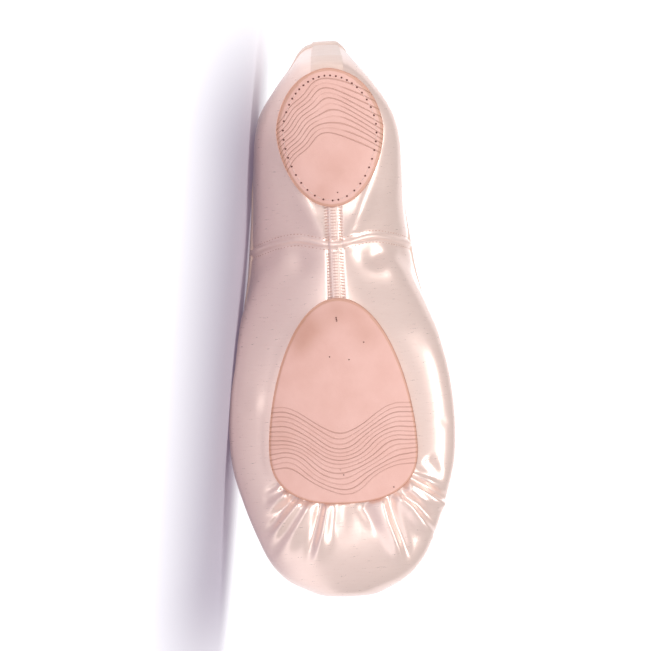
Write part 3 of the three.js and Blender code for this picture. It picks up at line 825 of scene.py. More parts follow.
class Shade:
    """Short ways of adding nodes to a tree."""

    def __init__(self, tree: bpy.types.NodeTree) -> None:
        """Keeps the tree."""
        self.tree = tree

    def node(self, kind: str, **settings: object) -> bpy.types.Node:
        """A new node with its settings."""
        made = self.tree.nodes.new(kind)
        for key, value in settings.items():
            setattr(made, key, value)
        return made

    def feed(self, socket: bpy.types.NodeSocket, value: object) -> None:
        """Links a socket to another one, or sets its plain value."""
        if isinstance(value, bpy.types.NodeSocket):
            self.tree.links.new(value, socket)
        else:
            socket.default_value = value

    def math(self, operation: str, a: object, b: object = 0.0, clamp: bool = False) -> bpy.types.NodeSocket:
        """The result of a Math node."""
        made = self.node("ShaderNodeMath", operation=operation, use_clamp=clamp)
        self.feed(made.inputs[0], a)
        self.feed(made.inputs[1], b)
        return made.outputs[0]

    def weigh(self, a: object, share_a: float, b: object, share_b: float) -> bpy.types.NodeSocket:
        """The sum of two values, each times its share."""
        return self.math("ADD", self.math("MULTIPLY", a, share_a), self.math("MULTIPLY", b, share_b))

    def remap(
        self, value: object, low: float, high: float, to_low: float = 0.0, to_high: float = 1.0
    ) -> bpy.types.NodeSocket:
        """The result of a smooth Map Range node."""
        made = self.node("ShaderNodeMapRange", interpolation_type="SMOOTHSTEP")
        names = ("Value", "From Min", "From Max", "To Min", "To Max")
        for name, given in zip(names, (value, low, high, to_low, to_high)):
            self.feed(made.inputs[name], given)
        return made.outputs["Result"]

    def noise(
        self, vector: object, scale: object, detail: float = 2.0, roughness: float = 0.5, distortion: float = 0.0
    ) -> bpy.types.NodeSocket:
        """The value of a Noise Texture."""
        made = self.node("ShaderNodeTexNoise")
        self.feed(made.inputs["Vector"], vector)
        self.feed(made.inputs["Scale"], scale)
        made.inputs["Detail"].default_value = detail
        made.inputs["Roughness"].default_value = roughness
        made.inputs["Distortion"].default_value = distortion
        return made.outputs["Fac"]

    def stretch(self, vector: object, scale: Sequence[float], turn: float = 0.0) -> bpy.types.NodeSocket:
        """A Mapping node that scales, and turns about Z, in degrees."""
        made = self.node("ShaderNodeMapping")
        self.feed(made.inputs["Vector"], vector)
        made.inputs["Scale"].default_value = scale
        made.inputs["Rotation"].default_value = (0, 0, math.radians(turn))
        return made.outputs["Vector"]

    def blend(self, share: object, a: object, b: object, mode: str = "MIX") -> bpy.types.NodeSocket:
        """A mix of two colours."""
        made = self.node("ShaderNodeMix", data_type="RGBA", blend_type=mode)
        self.feed(made.inputs[0], share)
        self.feed(made.inputs[6], a)
        self.feed(made.inputs[7], b)
        return made.outputs[2]

    def attribute(self, name: str) -> bpy.types.NodeSocket:
        """A vertex number kept by Bench.number."""
        return self.node("ShaderNodeAttribute", attribute_type="GEOMETRY", attribute_name=name).outputs["Fac"]

    def cloth_place(self) -> bpy.types.NodeSocket:
        """The place on the cloth, from the piece's own UV map, in millimetres."""
        return self.node("ShaderNodeUVMap").outputs["UV"]

    def object_place(self) -> bpy.types.NodeSocket:
        """Object coordinates, in metres."""
        return self.node("ShaderNodeTexCoord").outputs["Object"]


def new_group(
    name: str, inputs: Sequence[tuple[str, str, object]], outputs: Sequence[tuple[str, str]]
) -> tuple[bpy.types.NodeTree, Shade, bpy.types.Node, bpy.types.Node]:
    """An empty shader node group with named sockets.

    Args:
        name: the group's name.
        inputs: name, socket type and default of each input.
        outputs: name and socket type of each output.

    Returns:
        The group, a Shade for it, and its input and output nodes.
    """
    tree = bpy.data.node_groups.new(name, "ShaderNodeTree")
    for label, kind, default in inputs:
        socket = tree.interface.new_socket(name=label, in_out="INPUT", socket_type=kind)
        if default is not None:
            socket.default_value = default
    for label, kind in outputs:
        tree.interface.new_socket(name=label, in_out="OUTPUT", socket_type=kind)
    shade = Shade(tree)
    return tree, shade, shade.node("NodeGroupInput"), shade.node("NodeGroupOutput")


def weave_group() -> bpy.types.NodeTree:
    """Fine threads crossing at right angles, with slubs: a height and a lightness."""
    tree, shade, given, made = new_group(
        "weave",
        [("Place", "NodeSocketVector", None), ("Threads", "NodeSocketFloat", 3.0), ("Turn", "NodeSocketFloat", 0.0)],
        [("Height", "NodeSocketFloat"), ("Lightness", "NodeSocketFloat")],
    )
    scaled = shade.node("ShaderNodeVectorMath", operation="SCALE")
    shade.feed(scaled.inputs[0], given.outputs["Place"])
    shade.feed(scaled.inputs["Scale"], given.outputs["Threads"])
    turned = shade.node("ShaderNodeVectorRotate", rotation_type="Z_AXIS")
    shade.feed(turned.inputs["Vector"], scaled.outputs[0])
    shade.feed(turned.inputs["Angle"], given.outputs["Turn"])
    warp = shade.noise(shade.stretch(turned.outputs[0], (1.6, 0.16, 1)), 1.0, 3.0, 0.6)
    weft = shade.noise(shade.stretch(turned.outputs[0], (0.2, 1.4, 1)), 1.0, 2.0, 0.5)
    height = shade.weigh(warp, 0.7, weft, 0.3)
    broad = shade.noise(shade.stretch(turned.outputs[0], (0.35, 0.05, 1)), 1.0, 2.0, 0.5)
    shade.feed(made.inputs["Height"], height)
    shade.feed(made.inputs["Lightness"], shade.weigh(height, 0.5, broad, 0.5))
    return tree


def grain_group() -> bpy.types.NodeTree:
    """Leather grain: small pebbles broken by finer pores, as a height."""
    tree, shade, given, made = new_group(
        "grain",
        [("Place", "NodeSocketVector", None), ("Scale", "NodeSocketFloat", 1500.0)],
        [("Height", "NodeSocketFloat"), ("Mottle", "NodeSocketFloat")],
    )
    pebbles = shade.node("ShaderNodeTexVoronoi", feature="SMOOTH_F1")
    shade.feed(pebbles.inputs["Vector"], given.outputs["Place"])
    shade.feed(pebbles.inputs["Scale"], given.outputs["Scale"])
    pores = shade.noise(given.outputs["Place"], shade.math("MULTIPLY", given.outputs["Scale"], 2.3), 3.0, 0.6)
    mottle = shade.noise(given.outputs["Place"], shade.math("MULTIPLY", given.outputs["Scale"], 0.05), 4.0, 0.6)
    height = shade.weigh(pebbles.outputs["Distance"], -0.6, pores, 0.6)
    shade.feed(made.inputs["Height"], height)
    shade.feed(made.inputs["Mottle"], mottle)
    return tree


def soil_group() -> bpy.types.NodeTree:
    """Handling and dust: a soft uneven mask in broad patches and fine flecks."""
    tree, shade, given, made = new_group(
        "soil",
        [("Place", "NodeSocketVector", None), ("Scale", "NodeSocketFloat", 40.0), ("Amount", "NodeSocketFloat", 0.4)],
        [("Mask", "NodeSocketFloat")],
    )
    patches = shade.noise(given.outputs["Place"], given.outputs["Scale"], 4.0, 0.6, 0.4)
    flecks = shade.noise(given.outputs["Place"], shade.math("MULTIPLY", given.outputs["Scale"], 12.0), 2.0, 0.6)
    both = shade.weigh(shade.remap(patches, 0.45, 0.75), 0.75, shade.remap(flecks, 0.6, 0.8), 0.25)
    shade.feed(made.inputs["Mask"], shade.math("MULTIPLY", both, given.outputs["Amount"], True))
    return tree


class Effects:
    """The node groups that more than one finish uses, each built once."""

    def __init__(self) -> None:
        """Builds the groups."""
        self.weave = weave_group()
        self.grain = grain_group()
        self.soil = soil_group()

    @staticmethod
    def use(shade: Shade, tree: bpy.types.NodeTree, **values: object) -> bpy.types.Node:
        """Places a group in a material, with its own values."""
        made = shade.node("ShaderNodeGroup", node_tree=tree)
        for name, value in values.items():
            shade.feed(made.inputs[name], value)
        return made


EFFECTS = Effects()

Colour = tuple[float, float, float]


def linear(colour: Colour) -> tuple[float, float, float, float]:
    """A colour given as 0 to 255 display values, in Blender's own linear values."""
    parts = [c / 255 for c in colour]
    return (*[c / 12.92 if c <= 0.04045 else ((c + 0.055) / 1.055) ** 2.4 for c in parts], 1.0)


def blank(name: str) -> tuple[bpy.types.Material, Shade, bpy.types.Node]:
    """A new material with only its Principled shader, a Shade for its tree, and that shader."""
    material = bpy.data.materials.new(name)
    material.use_nodes = True
    shade = Shade(material.node_tree)
    return material, shade, material.node_tree.nodes["Principled BSDF"]


def roughen(shade: Shade, shader: bpy.types.Node, height: object, strength: float, distance: float) -> bpy.types.Node:
    """Feeds a height to the shader's normal through a Bump node, and returns that node."""
    bump = shade.node("ShaderNodeBump")
    bump.inputs["Strength"].default_value = strength
    bump.inputs["Distance"].default_value = distance
    shade.feed(bump.inputs["Height"], height)
    shade.feed(shader.inputs["Normal"], bump.outputs["Normal"])
    return bump


# ---------------------------------------------------------------------------------------------------------------
# Finishes
# ---------------------------------------------------------------------------------------------------------------


@dataclass(frozen=True)
class SatinFinish:
    """Polished pale pink satin: broad gloss, fine threads and a little handling."""

    name: str
    colour: Colour = (247, 224, 214)
    shade_colour: Colour = (243, 216, 205)
    roughness: float = 0.28
    metallic: float = 0.42
    sheen: float = 0.15
    threads: float = 3.4
    bump: float = 0.06

    def material(self) -> bpy.types.Material:
        """Builds the material."""
        material, shade, shader = blank(self.name)
        place = shade.cloth_place()
        weave = Effects.use(shade, EFFECTS.weave, Place=place, Threads=self.threads)
        soil = Effects.use(shade, EFFECTS.soil, Place=shade.object_place(), Scale=32.0, Amount=0.35)
        tone = shade.remap(weave.outputs["Lightness"], 0.1, 0.9)
        cloth = shade.blend(tone, linear(self.shade_colour), linear(self.colour))
        shade.feed(shader.inputs["Base Color"], shade.blend(soil.outputs["Mask"], cloth, linear(self.shade_colour)))
        uneven = shade.remap(weave.outputs["Lightness"], 0.1, 0.9, self.roughness - 0.02, self.roughness + 0.03)
        shade.feed(shader.inputs["Roughness"], uneven)
        shader.inputs["Metallic"].default_value = self.metallic
        shader.inputs["Specular IOR Level"].default_value = 0.6
        shader.inputs["Sheen Weight"].default_value = self.sheen
        shader.inputs["Sheen Roughness"].default_value = 0.4
        roughen(shade, shader, weave.outputs["Height"], self.bump, 0.12 * MM)
        return material


@dataclass(frozen=True)
class LeatherFinish:
    """Undyed pink sole leather: matt grain, scored waves, stains and a tan cut edge."""

    name: str
    colour: Colour = (231, 187, 175)
    deep: Colour = (214, 163, 148)
    cut: Colour = (196, 148, 118)
    stain: Colour = (178, 120, 92)
    roughness: float = 0.58

    def material(self) -> bpy.types.Material:
        """Builds the material."""
        material, shade, shader = blank(self.name)
        grain = Effects.use(shade, EFFECTS.grain, Place=shade.object_place(), Scale=1300.0)
        soil = Effects.use(shade, EFFECTS.soil, Place=shade.object_place(), Scale=55.0, Amount=0.55)
        phase = shade.attribute("wave")
        saw = shade.math("PINGPONG", phase, 0.5)
        line = shade.remap(saw, 0.0, 0.16, 1.0, 0.0)
        groove = shade.math("MULTIPLY", line, shade.attribute("scored"), True)
        tone = shade.remap(grain.outputs["Mottle"], 0.3, 0.7)
        hide = shade.blend(shade.math("MULTIPLY", tone, 0.35), linear(self.colour), linear(self.deep))
        hide = shade.blend(shade.math("MULTIPLY", soil.outputs["Mask"], 0.5), hide, linear(self.deep))
        hide = shade.blend(shade.math("MULTIPLY", shade.attribute("stained"), 0.55, True), hide, linear(self.stain))
        hide = shade.blend(shade.math("MULTIPLY", groove, 0.42), hide, linear(self.stain))
        hide = shade.blend(shade.attribute("rim"), hide, linear(self.cut))
        shade.feed(shader.inputs["Base Color"], hide)
        uneven = shade.remap(grain.outputs["Height"], -0.2, 0.5, self.roughness + 0.08, self.roughness - 0.08)
        shade.feed(shader.inputs["Roughness"], uneven)
        shader.inputs["Specular IOR Level"].default_value = 0.4
        fine = shade.math("MULTIPLY", grain.outputs["Height"], 0.16)
        roughen(shade, shader, shade.math("SUBTRACT", fine, groove), 0.8, 0.35 * MM)
        return material


@dataclass(frozen=True)
class CottonFinish:
    """Matt woven cotton for the tape, casing, lining and insole."""

    name: str
    colour: Colour
    shade_colour: Colour
    threads: float = 1.4
    turn: float = 0.0
    roughness: float = 0.8
    bump: float = 0.6

    def material(self) -> bpy.types.Material:
        """Builds the material."""
        material, shade, shader = blank(self.name)
        turn = math.radians(self.turn)
        weave = Effects.use(shade, EFFECTS.weave, Place=shade.cloth_place(), Threads=self.threads, Turn=turn)
        soil = Effects.use(shade, EFFECTS.soil, Place=shade.object_place(), Scale=60.0, Amount=0.5)
        tone = shade.remap(weave.outputs["Lightness"], 0.15, 0.85)
        cloth = shade.blend(tone, linear(self.shade_colour), linear(self.colour))
        shade.feed(shader.inputs["Base Color"], shade.blend(soil.outputs["Mask"], cloth, linear(self.shade_colour)))
        uneven = shade.remap(weave.outputs["Height"], 0.2, 0.8, self.roughness, self.roughness - 0.12)
        shade.feed(shader.inputs["Roughness"], uneven)
        shader.inputs["Sheen Weight"].default_value = 0.25
        roughen(shade, shader, weave.outputs["Height"], self.bump, 0.2 * MM)
        return material


@dataclass(frozen=True)
class ThreadFinish:
    """Twisted sewing thread."""

    name: str
    colour: Colour
    roughness: float = 0.45

    def material(self) -> bpy.types.Material:
        """Builds the material."""
        material, shade, shader = blank(self.name)
        twist = shade.noise(shade.object_place(), 2500.0, 2.0)
        deep = linear(tuple(0.86 * c for c in self.colour))
        shade.feed(shader.inputs["Base Color"], shade.blend(twist, deep, linear(self.colour)))
        shader.inputs["Roughness"].default_value = self.roughness
        shader.inputs["Sheen Weight"].default_value = 0.3
        roughen(shade, shader, twist, 0.3, 0.05 * MM)
        return material


@dataclass(frozen=True)
class StageFinish:
    """The studio's seamless paper, shining by its own emission as painted light everywhere but round the shoe, where
    darker emission paints its soft shadow.
    """

    name: str
    colour: Colour = (184, 181, 190)
    # near is the dark mauve emission that paints the shoe's soft shadow on the paper; far is the pale emission by which
    # the paper shines as painted light
    near: tuple[float, float, float, float] = (0.1, 0.08, 0.115, 1)
    far: tuple[float, float, float, float] = (0.8, 0.8, 0.8, 1)
    # where the painted light fades into the painted shadow, in metres: the shoe's middle and half length, and how far
    # in front of it the paper shines fully again and, towards the camera, stops shining; past its ends and behind it,
    # distance counts for more
    middle: float = 0.025
    half_length: float = 0.085
    past_ends: float = 5.0
    behind: float = 5.0
    fade: tuple[float, float] = (0.02, 0.46)
    camera_side: tuple[float, float] = (-1.7, -0.95)

    def material(self) -> bpy.types.Material:
        """Builds the material."""
        material, shade, shader = blank(self.name)
        fibres = shade.noise(shade.object_place(), 300.0, 3.0)
        deep = linear(tuple(c - 4 for c in self.colour))
        shade.feed(shader.inputs["Base Color"], shade.blend(fibres, deep, linear(self.colour)))
        shader.inputs["Roughness"].default_value = 0.95
        shader.inputs["Specular IOR Level"].default_value = 0.1
        apart = shade.node("ShaderNodeSeparateXYZ")
        shade.feed(apart.inputs[0], shade.object_place())
        off_middle = shade.math("ABSOLUTE", shade.math("SUBTRACT", apart.outputs["X"], self.middle))
        past_ends = shade.math("MAXIMUM", shade.math("SUBTRACT", off_middle, self.half_length), 0.0)
        joined = shade.node("ShaderNodeCombineXYZ")
        shade.feed(joined.inputs["X"], shade.math("MULTIPLY", past_ends, self.past_ends))
        behind = shade.math("MULTIPLY", shade.math("MAXIMUM", apart.outputs["Y"], 0.0), self.behind)
        shade.feed(joined.inputs["Y"], shade.math("ADD", apart.outputs["Y"], behind))
        away = shade.node("ShaderNodeVectorMath", operation="LENGTH")
        shade.feed(away.inputs[0], joined.outputs[0])
        # painted shadow: the emission darkens from far to near towards the shoe, on paper whose shining is painted
        # light
        returns = shade.remap(away.outputs["Value"], *self.fade)
        painted_glow_share = shade.math("MULTIPLY", returns, shade.remap(apart.outputs["Y"], *self.camera_side))
        shade.feed(shader.inputs["Emission Color"], shade.blend(painted_glow_share, self.near, self.far))
        shader.inputs["Emission Strength"].default_value = 1.0
        return material


# ---------------------------------------------------------------------------------------------------------------
# Pieces
# ---------------------------------------------------------------------------------------------------------------


@dataclass
class Egg:
    """A sole's outline in plan: two half eggs that meet at the widest place."""

    start: float
    length: float
    width: float
    widest: float
    rear: tuple[float, float]
    front: tuple[float, float]

    def outline(self, count: int, inset: float = 0.0) -> np.ndarray:
        """Evenly spread points of the outline.

        Args:
            count: how many points.
            inset: how far inside the sole's edge they lie, in millimetres.

        Returns:
            Points, one row of x and y each.
        """
        turn = np.linspace(0, 2 * math.pi, 2401)
        forward = np.cos(turn) > 0
        p = np.where(forward, self.front[0], self.rear[0])
        q = np.where(forward, self.front[1], self.rear[1])
        reach = np.where(forward, (1 - self.widest) * self.length, self.widest * self.length) - inset
        x = self.start + self.widest * self.length + np.sign(np.cos(turn)) * reach * np.abs(np.cos(turn)) ** (2 / p)
        y = np.sign(np.sin(turn)) * (self.width / 2 - inset) * np.abs(np.sin(turn)) ** (2 / q)
        fine = np.stack([x, y], 1)
        run = run_along(fine)
        wanted = np.linspace(0, run[-1], count, endpoint=False)
        return np.stack([np.interp(wanted, run, fine[:, k]) for k in range(2)], 1)

    def holds(self, x: np.ndarray, y: np.ndarray, inset: float = 0.0) -> np.ndarray:
        """Whether places in plan lie inside the outline."""
        middle = self.start + self.widest * self.length
        forward = x > middle
        p = np.where(forward, self.front[0], self.rear[0])
        q = np.where(forward, self.front[1], self.rear[1])
        reach = np.where(forward, (1 - self.widest) * self.length, self.widest * self.length) - inset
        return (np.abs(x - middle) / reach) ** p + (np.abs(y) / (self.width / 2 - inset)) ** q < 1


FOREFOOT = Egg(112.0, 87.0, 62.6, 0.73, (1.75, 2.0), (2.5, 2.5))
HEEL = Egg(14.0, 58.0, 44.0, 0.45, (1.7, 2.0), (1.75, 2.0))


@dataclass
class Upper:
    """The satin upper with its gathers, and the cotton lining inside it."""

    steps: tuple[int, ...] = (8, 12, 12, 12, 10, 10, 10, 12, 12, 12, 12, 12, 14, 18, 26, 20, 26, 34, 30, 20, 12, 8, 6)
    tip_steps: int = 9
    around: int = 290
    gather: float = 1.15
    drop: float = 4.5
    sole_lap: float = 7.0
    sole_side: float = 20.0

    def ring_rows(self, drop: float, fewer: int = 1) -> np.ndarray:
        """Row numbers of the rings, from the heel's back to the middle of the toe's tip."""
        rows = [np.linspace(i, i + 1, max(2, n // fewer), endpoint=False) for i, n in enumerate(self.steps)]
        tip = LAST_ROW + 1 - (1 - np.linspace(0, 1, self.tip_steps + 1)) ** 1.0
        rows = np.concatenate([*rows, tip])
        start = LAST.heel_row(drop)
        rows = np.concatenate([[start], rows[(rows > start + 0.05)]])
        return np.unique(np.round(rows, 6))

    def surface(self, drop: float, around: int, fewer: int = 1) -> tuple[np.ndarray, np.ndarray, np.ndarray]:
        """The smooth outside surface of the whole last, from the collar's back to the toe's tip.

        Args:
            drop: how far below the collar's top the surface will be cut.
            around: steps around a section.
            fewer: divides the number of rings.

        Returns:
            Points, outward normals and signed runs, rings by columns.
        """
        share = np.linspace(-1, 1, around + 1)
        spread = np.sign(share) * np.abs(share) ** self.gather
        rows = self.ring_rows(drop, fewer)
        made = [LAST.ring(row, spread, None) for row in rows]
        points = np.stack([m[0] for m in made])
        runs = np.stack([m[1] for m in made])
        return points, surface_normals(points), runs

    def cloth(self, points: np.ndarray, runs: np.ndarray) -> np.ndarray:
        """Places on the cloth: along the foot, and around it."""
        middle = points[:, points.shape[1] // 2]
        along = run_along(middle)
        return np.stack([np.broadcast_to(along[:, None], runs.shape), runs], -1)

    def build(self) -> None:
        """Makes the satin and the lining."""
        self.build_satin()
        self.build_lining()

    def build_satin(self) -> None:
        """The outside, with every gather and crease, open under the soles."""
        points, normals, runs = self.surface(self.drop, self.around)
        relief = RELIEF.height(points, normals, runs)
        raised = points + normals * relief[..., None]
        placed = LIE.place(raised)
        satin = Bench.sheet("satin_upper", placed, self.cloth(points, runs), outwards=False)

        def under_sole(centres: np.ndarray) -> np.ndarray:
            """Chooses the faces that a leather sole hides, and those over the collar."""
            p = from_lying(centres / MM)
            covered = [egg.holds(p[:, 0], p[:, 1], self.sole_lap) for egg in (FOREFOOT, HEEL)]
            return (p[:, 2] < self.sole_side) & (covered[0] | covered[1]) | self.over_collar(centres)

        Bench.drop_faces(satin, under_sole)
        Bench.finish(satin, SatinFinish("pale_satin").material(), "satin", ["upper"], 180)

    def over_collar(self, centres: np.ndarray) -> np.ndarray:
        """Chooses the faces, by their centres in metres, that lie over the line where the binding hides the edge."""
        p = from_lying(centres / MM)
        return (p[:, 0] < SIZES.throat + self.drop) & (p[:, 2] > LAST.collar_height(p[:, 0], self.drop))

    def build_lining(self) -> None:
        """The inside, a wall's thickness in."""
        points, normals, runs = self.surface(self.drop, 170, 2)
        inside = points - normals * LAST.wall(points[..., 0])[..., None]
        placed = LIE.place(inside, -LAST.wall(points[..., 0]))
        lining = Bench.sheet("cotton_lining", placed, self.cloth(points, runs), weld=0.05)
        Bench.drop_faces(lining, self.over_collar)
        cotton = CottonFinish("lining_cotton", (238, 222, 205), (222, 200, 180), threads=1.2)
        Bench.finish(lining, cotton.material(), "insole_cotton", crisp=180)


@dataclass
class CollarBinding:
    """The folded tape round the collar, with the drawstring's bulge along its top."""

    columns: int = 130
    # the tape's outer and inner side: distance below the collar's top, and height off the satin or the lining
    outer: tuple[tuple[float, float], ...] = (
        (9.2, 0.02), (9.0, 0.4), (8.5, 0.62), (8.0, 0.6), (7.6, 0.42), (7.2, 0.6), (6.2, 0.72),
        (5.2, 0.66), (4.2, 0.72), (3.2, 0.86), (2.2, 0.9), (1.2, 0.86), (0.4, 0.55), (0.05, 0.0),
    )
    inner: tuple[tuple[float, float], ...] = (
        (0.05, -0.1), (0.5, 0.5), (1.4, 0.8), (2.6, 0.8), (4.0, 0.6), (6.0, 0.55), (8.0, 0.5), (9.0, 0.3), (9.2, -0.05),
    )

    def line(self, drop: float) -> np.ndarray:
        """The collar line lowered by drop, once round from the heel's back by the left side.

        Args:
            drop: how far below the collar's top the line runs.

        Returns:
            Closed run of points on the last's surface; the last one repeats the first.
        """
        start = float(LAST.section(LAST.heel_row(drop))["x"])
        ease = (1 - np.cos(np.linspace(0, math.pi, self.columns))) / 2
        x = mix(start, SIZES.throat + drop, ease)
        s = LAST.section(LAST.row_at(x))
        turn = LAST.turn_at(s, LAST.collar_height(x, drop))
        turn[-1] = math.pi / 2
        left = LAST.point(s, turn, 1)
        right = LAST.point(s, turn, -1)
        for side in (left, right):
            side[0, 1] = float(s["lean"][0]) * 0.5
        return np.concatenate([left, right[::-1][1:]])

    def build(self) -> None:
        """Makes the binding."""
        drops = sorted({d for d, _ in self.outer + self.inner}, reverse=True)
        lines = np.stack([self.line(d) for d in drops])
        across = np.gradient(lines, axis=0)
        along = np.gradient(lines, axis=1)
        along[:, 0] = along[:, -1] = lines[:, 1] - lines[:, -2]
        normal = np.cross(across, along)
        normal /= np.maximum(np.linalg.norm(normal, axis=-1, keepdims=True), 1e-9)
        middle = np.array([70.0, 0.0, 30.0])
        if np.mean(np.sum(normal * (lines - middle), -1)) < 0:
            normal = -normal
        wall = LAST.wall(lines[..., 0])[..., None]
        rows = []
        for drop, rise in self.outer:
            k = drops.index(drop)
            rows.append(LIE.place(lines[k] + normal[k] * rise, rise))
        for drop, rise in self.inner:
            k = drops.index(drop)
            depth = wall[k] + rise
            rows.append(LIE.place(lines[k] - normal[k] * depth, -depth[..., 0]))
        rows.append(rows[0])
        points = np.stack(rows)
        run = run_along(lines[0])
        depth = run_along(points[:, 40])
        uv = np.stack(np.meshgrid(run, depth), -1)
        binding = Bench.sheet("collar_binding_tape", points, uv)
        cotton = CottonFinish("binding_cotton", (238, 217, 204), (224, 196, 182), threads=1.8, roughness=0.6, bump=0.4)
        Bench.finish(binding, cotton.material(), "binding_cotton", ["collar_binding"], 70)


@dataclass
class HeelTape:
    """The tape over the back seam, from under the heel sole up over the binding."""

    reach: float = 20.0
    rise: float = 0.55
    step: float = 0.95
    across: int = 16
    along: int = 90

    def build(self) -> None:
        """Makes the tape."""
        half = SIZES.tape_width / 2
        rows = np.linspace(float(LAST.row_at(self.reach)), LAST.heel_row(0.2), self.along)
        arcs = np.linspace(-half, half, self.across + 1)
        points = np.stack([LAST.at_arc(row, arcs) for row in rows])
        normals = surface_normals(points)
        if np.mean(normals[..., 0]) > 0:
            normals = -normals
        height = points[:, self.across // 2, 2]
        collar = float(LAST.collar_height(0))
        over = smoothstep(height, collar - SIZES.binding_width - 1.2, collar - SIZES.binding_width + 0.6)
        fold = 0.5 * np.exp(-(((height - 12.0) / 3.2) ** 2))
        edge = 0.45 * (np.abs(arcs) / half) ** 8
        grow = (self.rise + self.step * over + fold)[:, None] - edge[None]
        outer = points + normals * grow[..., None]
        inner = points + normals * (grow - 0.5)[..., None]
        sheet = np.concatenate([outer, inner[:, ::-1]], 1)
        sheet = np.concatenate([sheet, sheet[:, :1]], 1)
        placed = LIE.place(sheet)
        run = run_along(points[:, self.across // 2])
        wide = np.concatenate([arcs, arcs[::-1], arcs[:1]])
        uv = np.stack(np.broadcast_arrays(run[:, None], wide), -1)
        tape = Bench.sheet("heel_tape_strip", placed, uv)
        cotton = CottonFinish("tape_cotton", (240, 218, 206), (226, 198, 184), threads=1.6, roughness=0.62, bump=0.55)
        Bench.finish(tape, cotton.material(), "heel_tape_cotton", ["heel_tape"], 60)


class Waves(Enum):
    """Which tread pattern a sole has."""

    VALLEYS = "valleys"
    ARCHES = "arches"


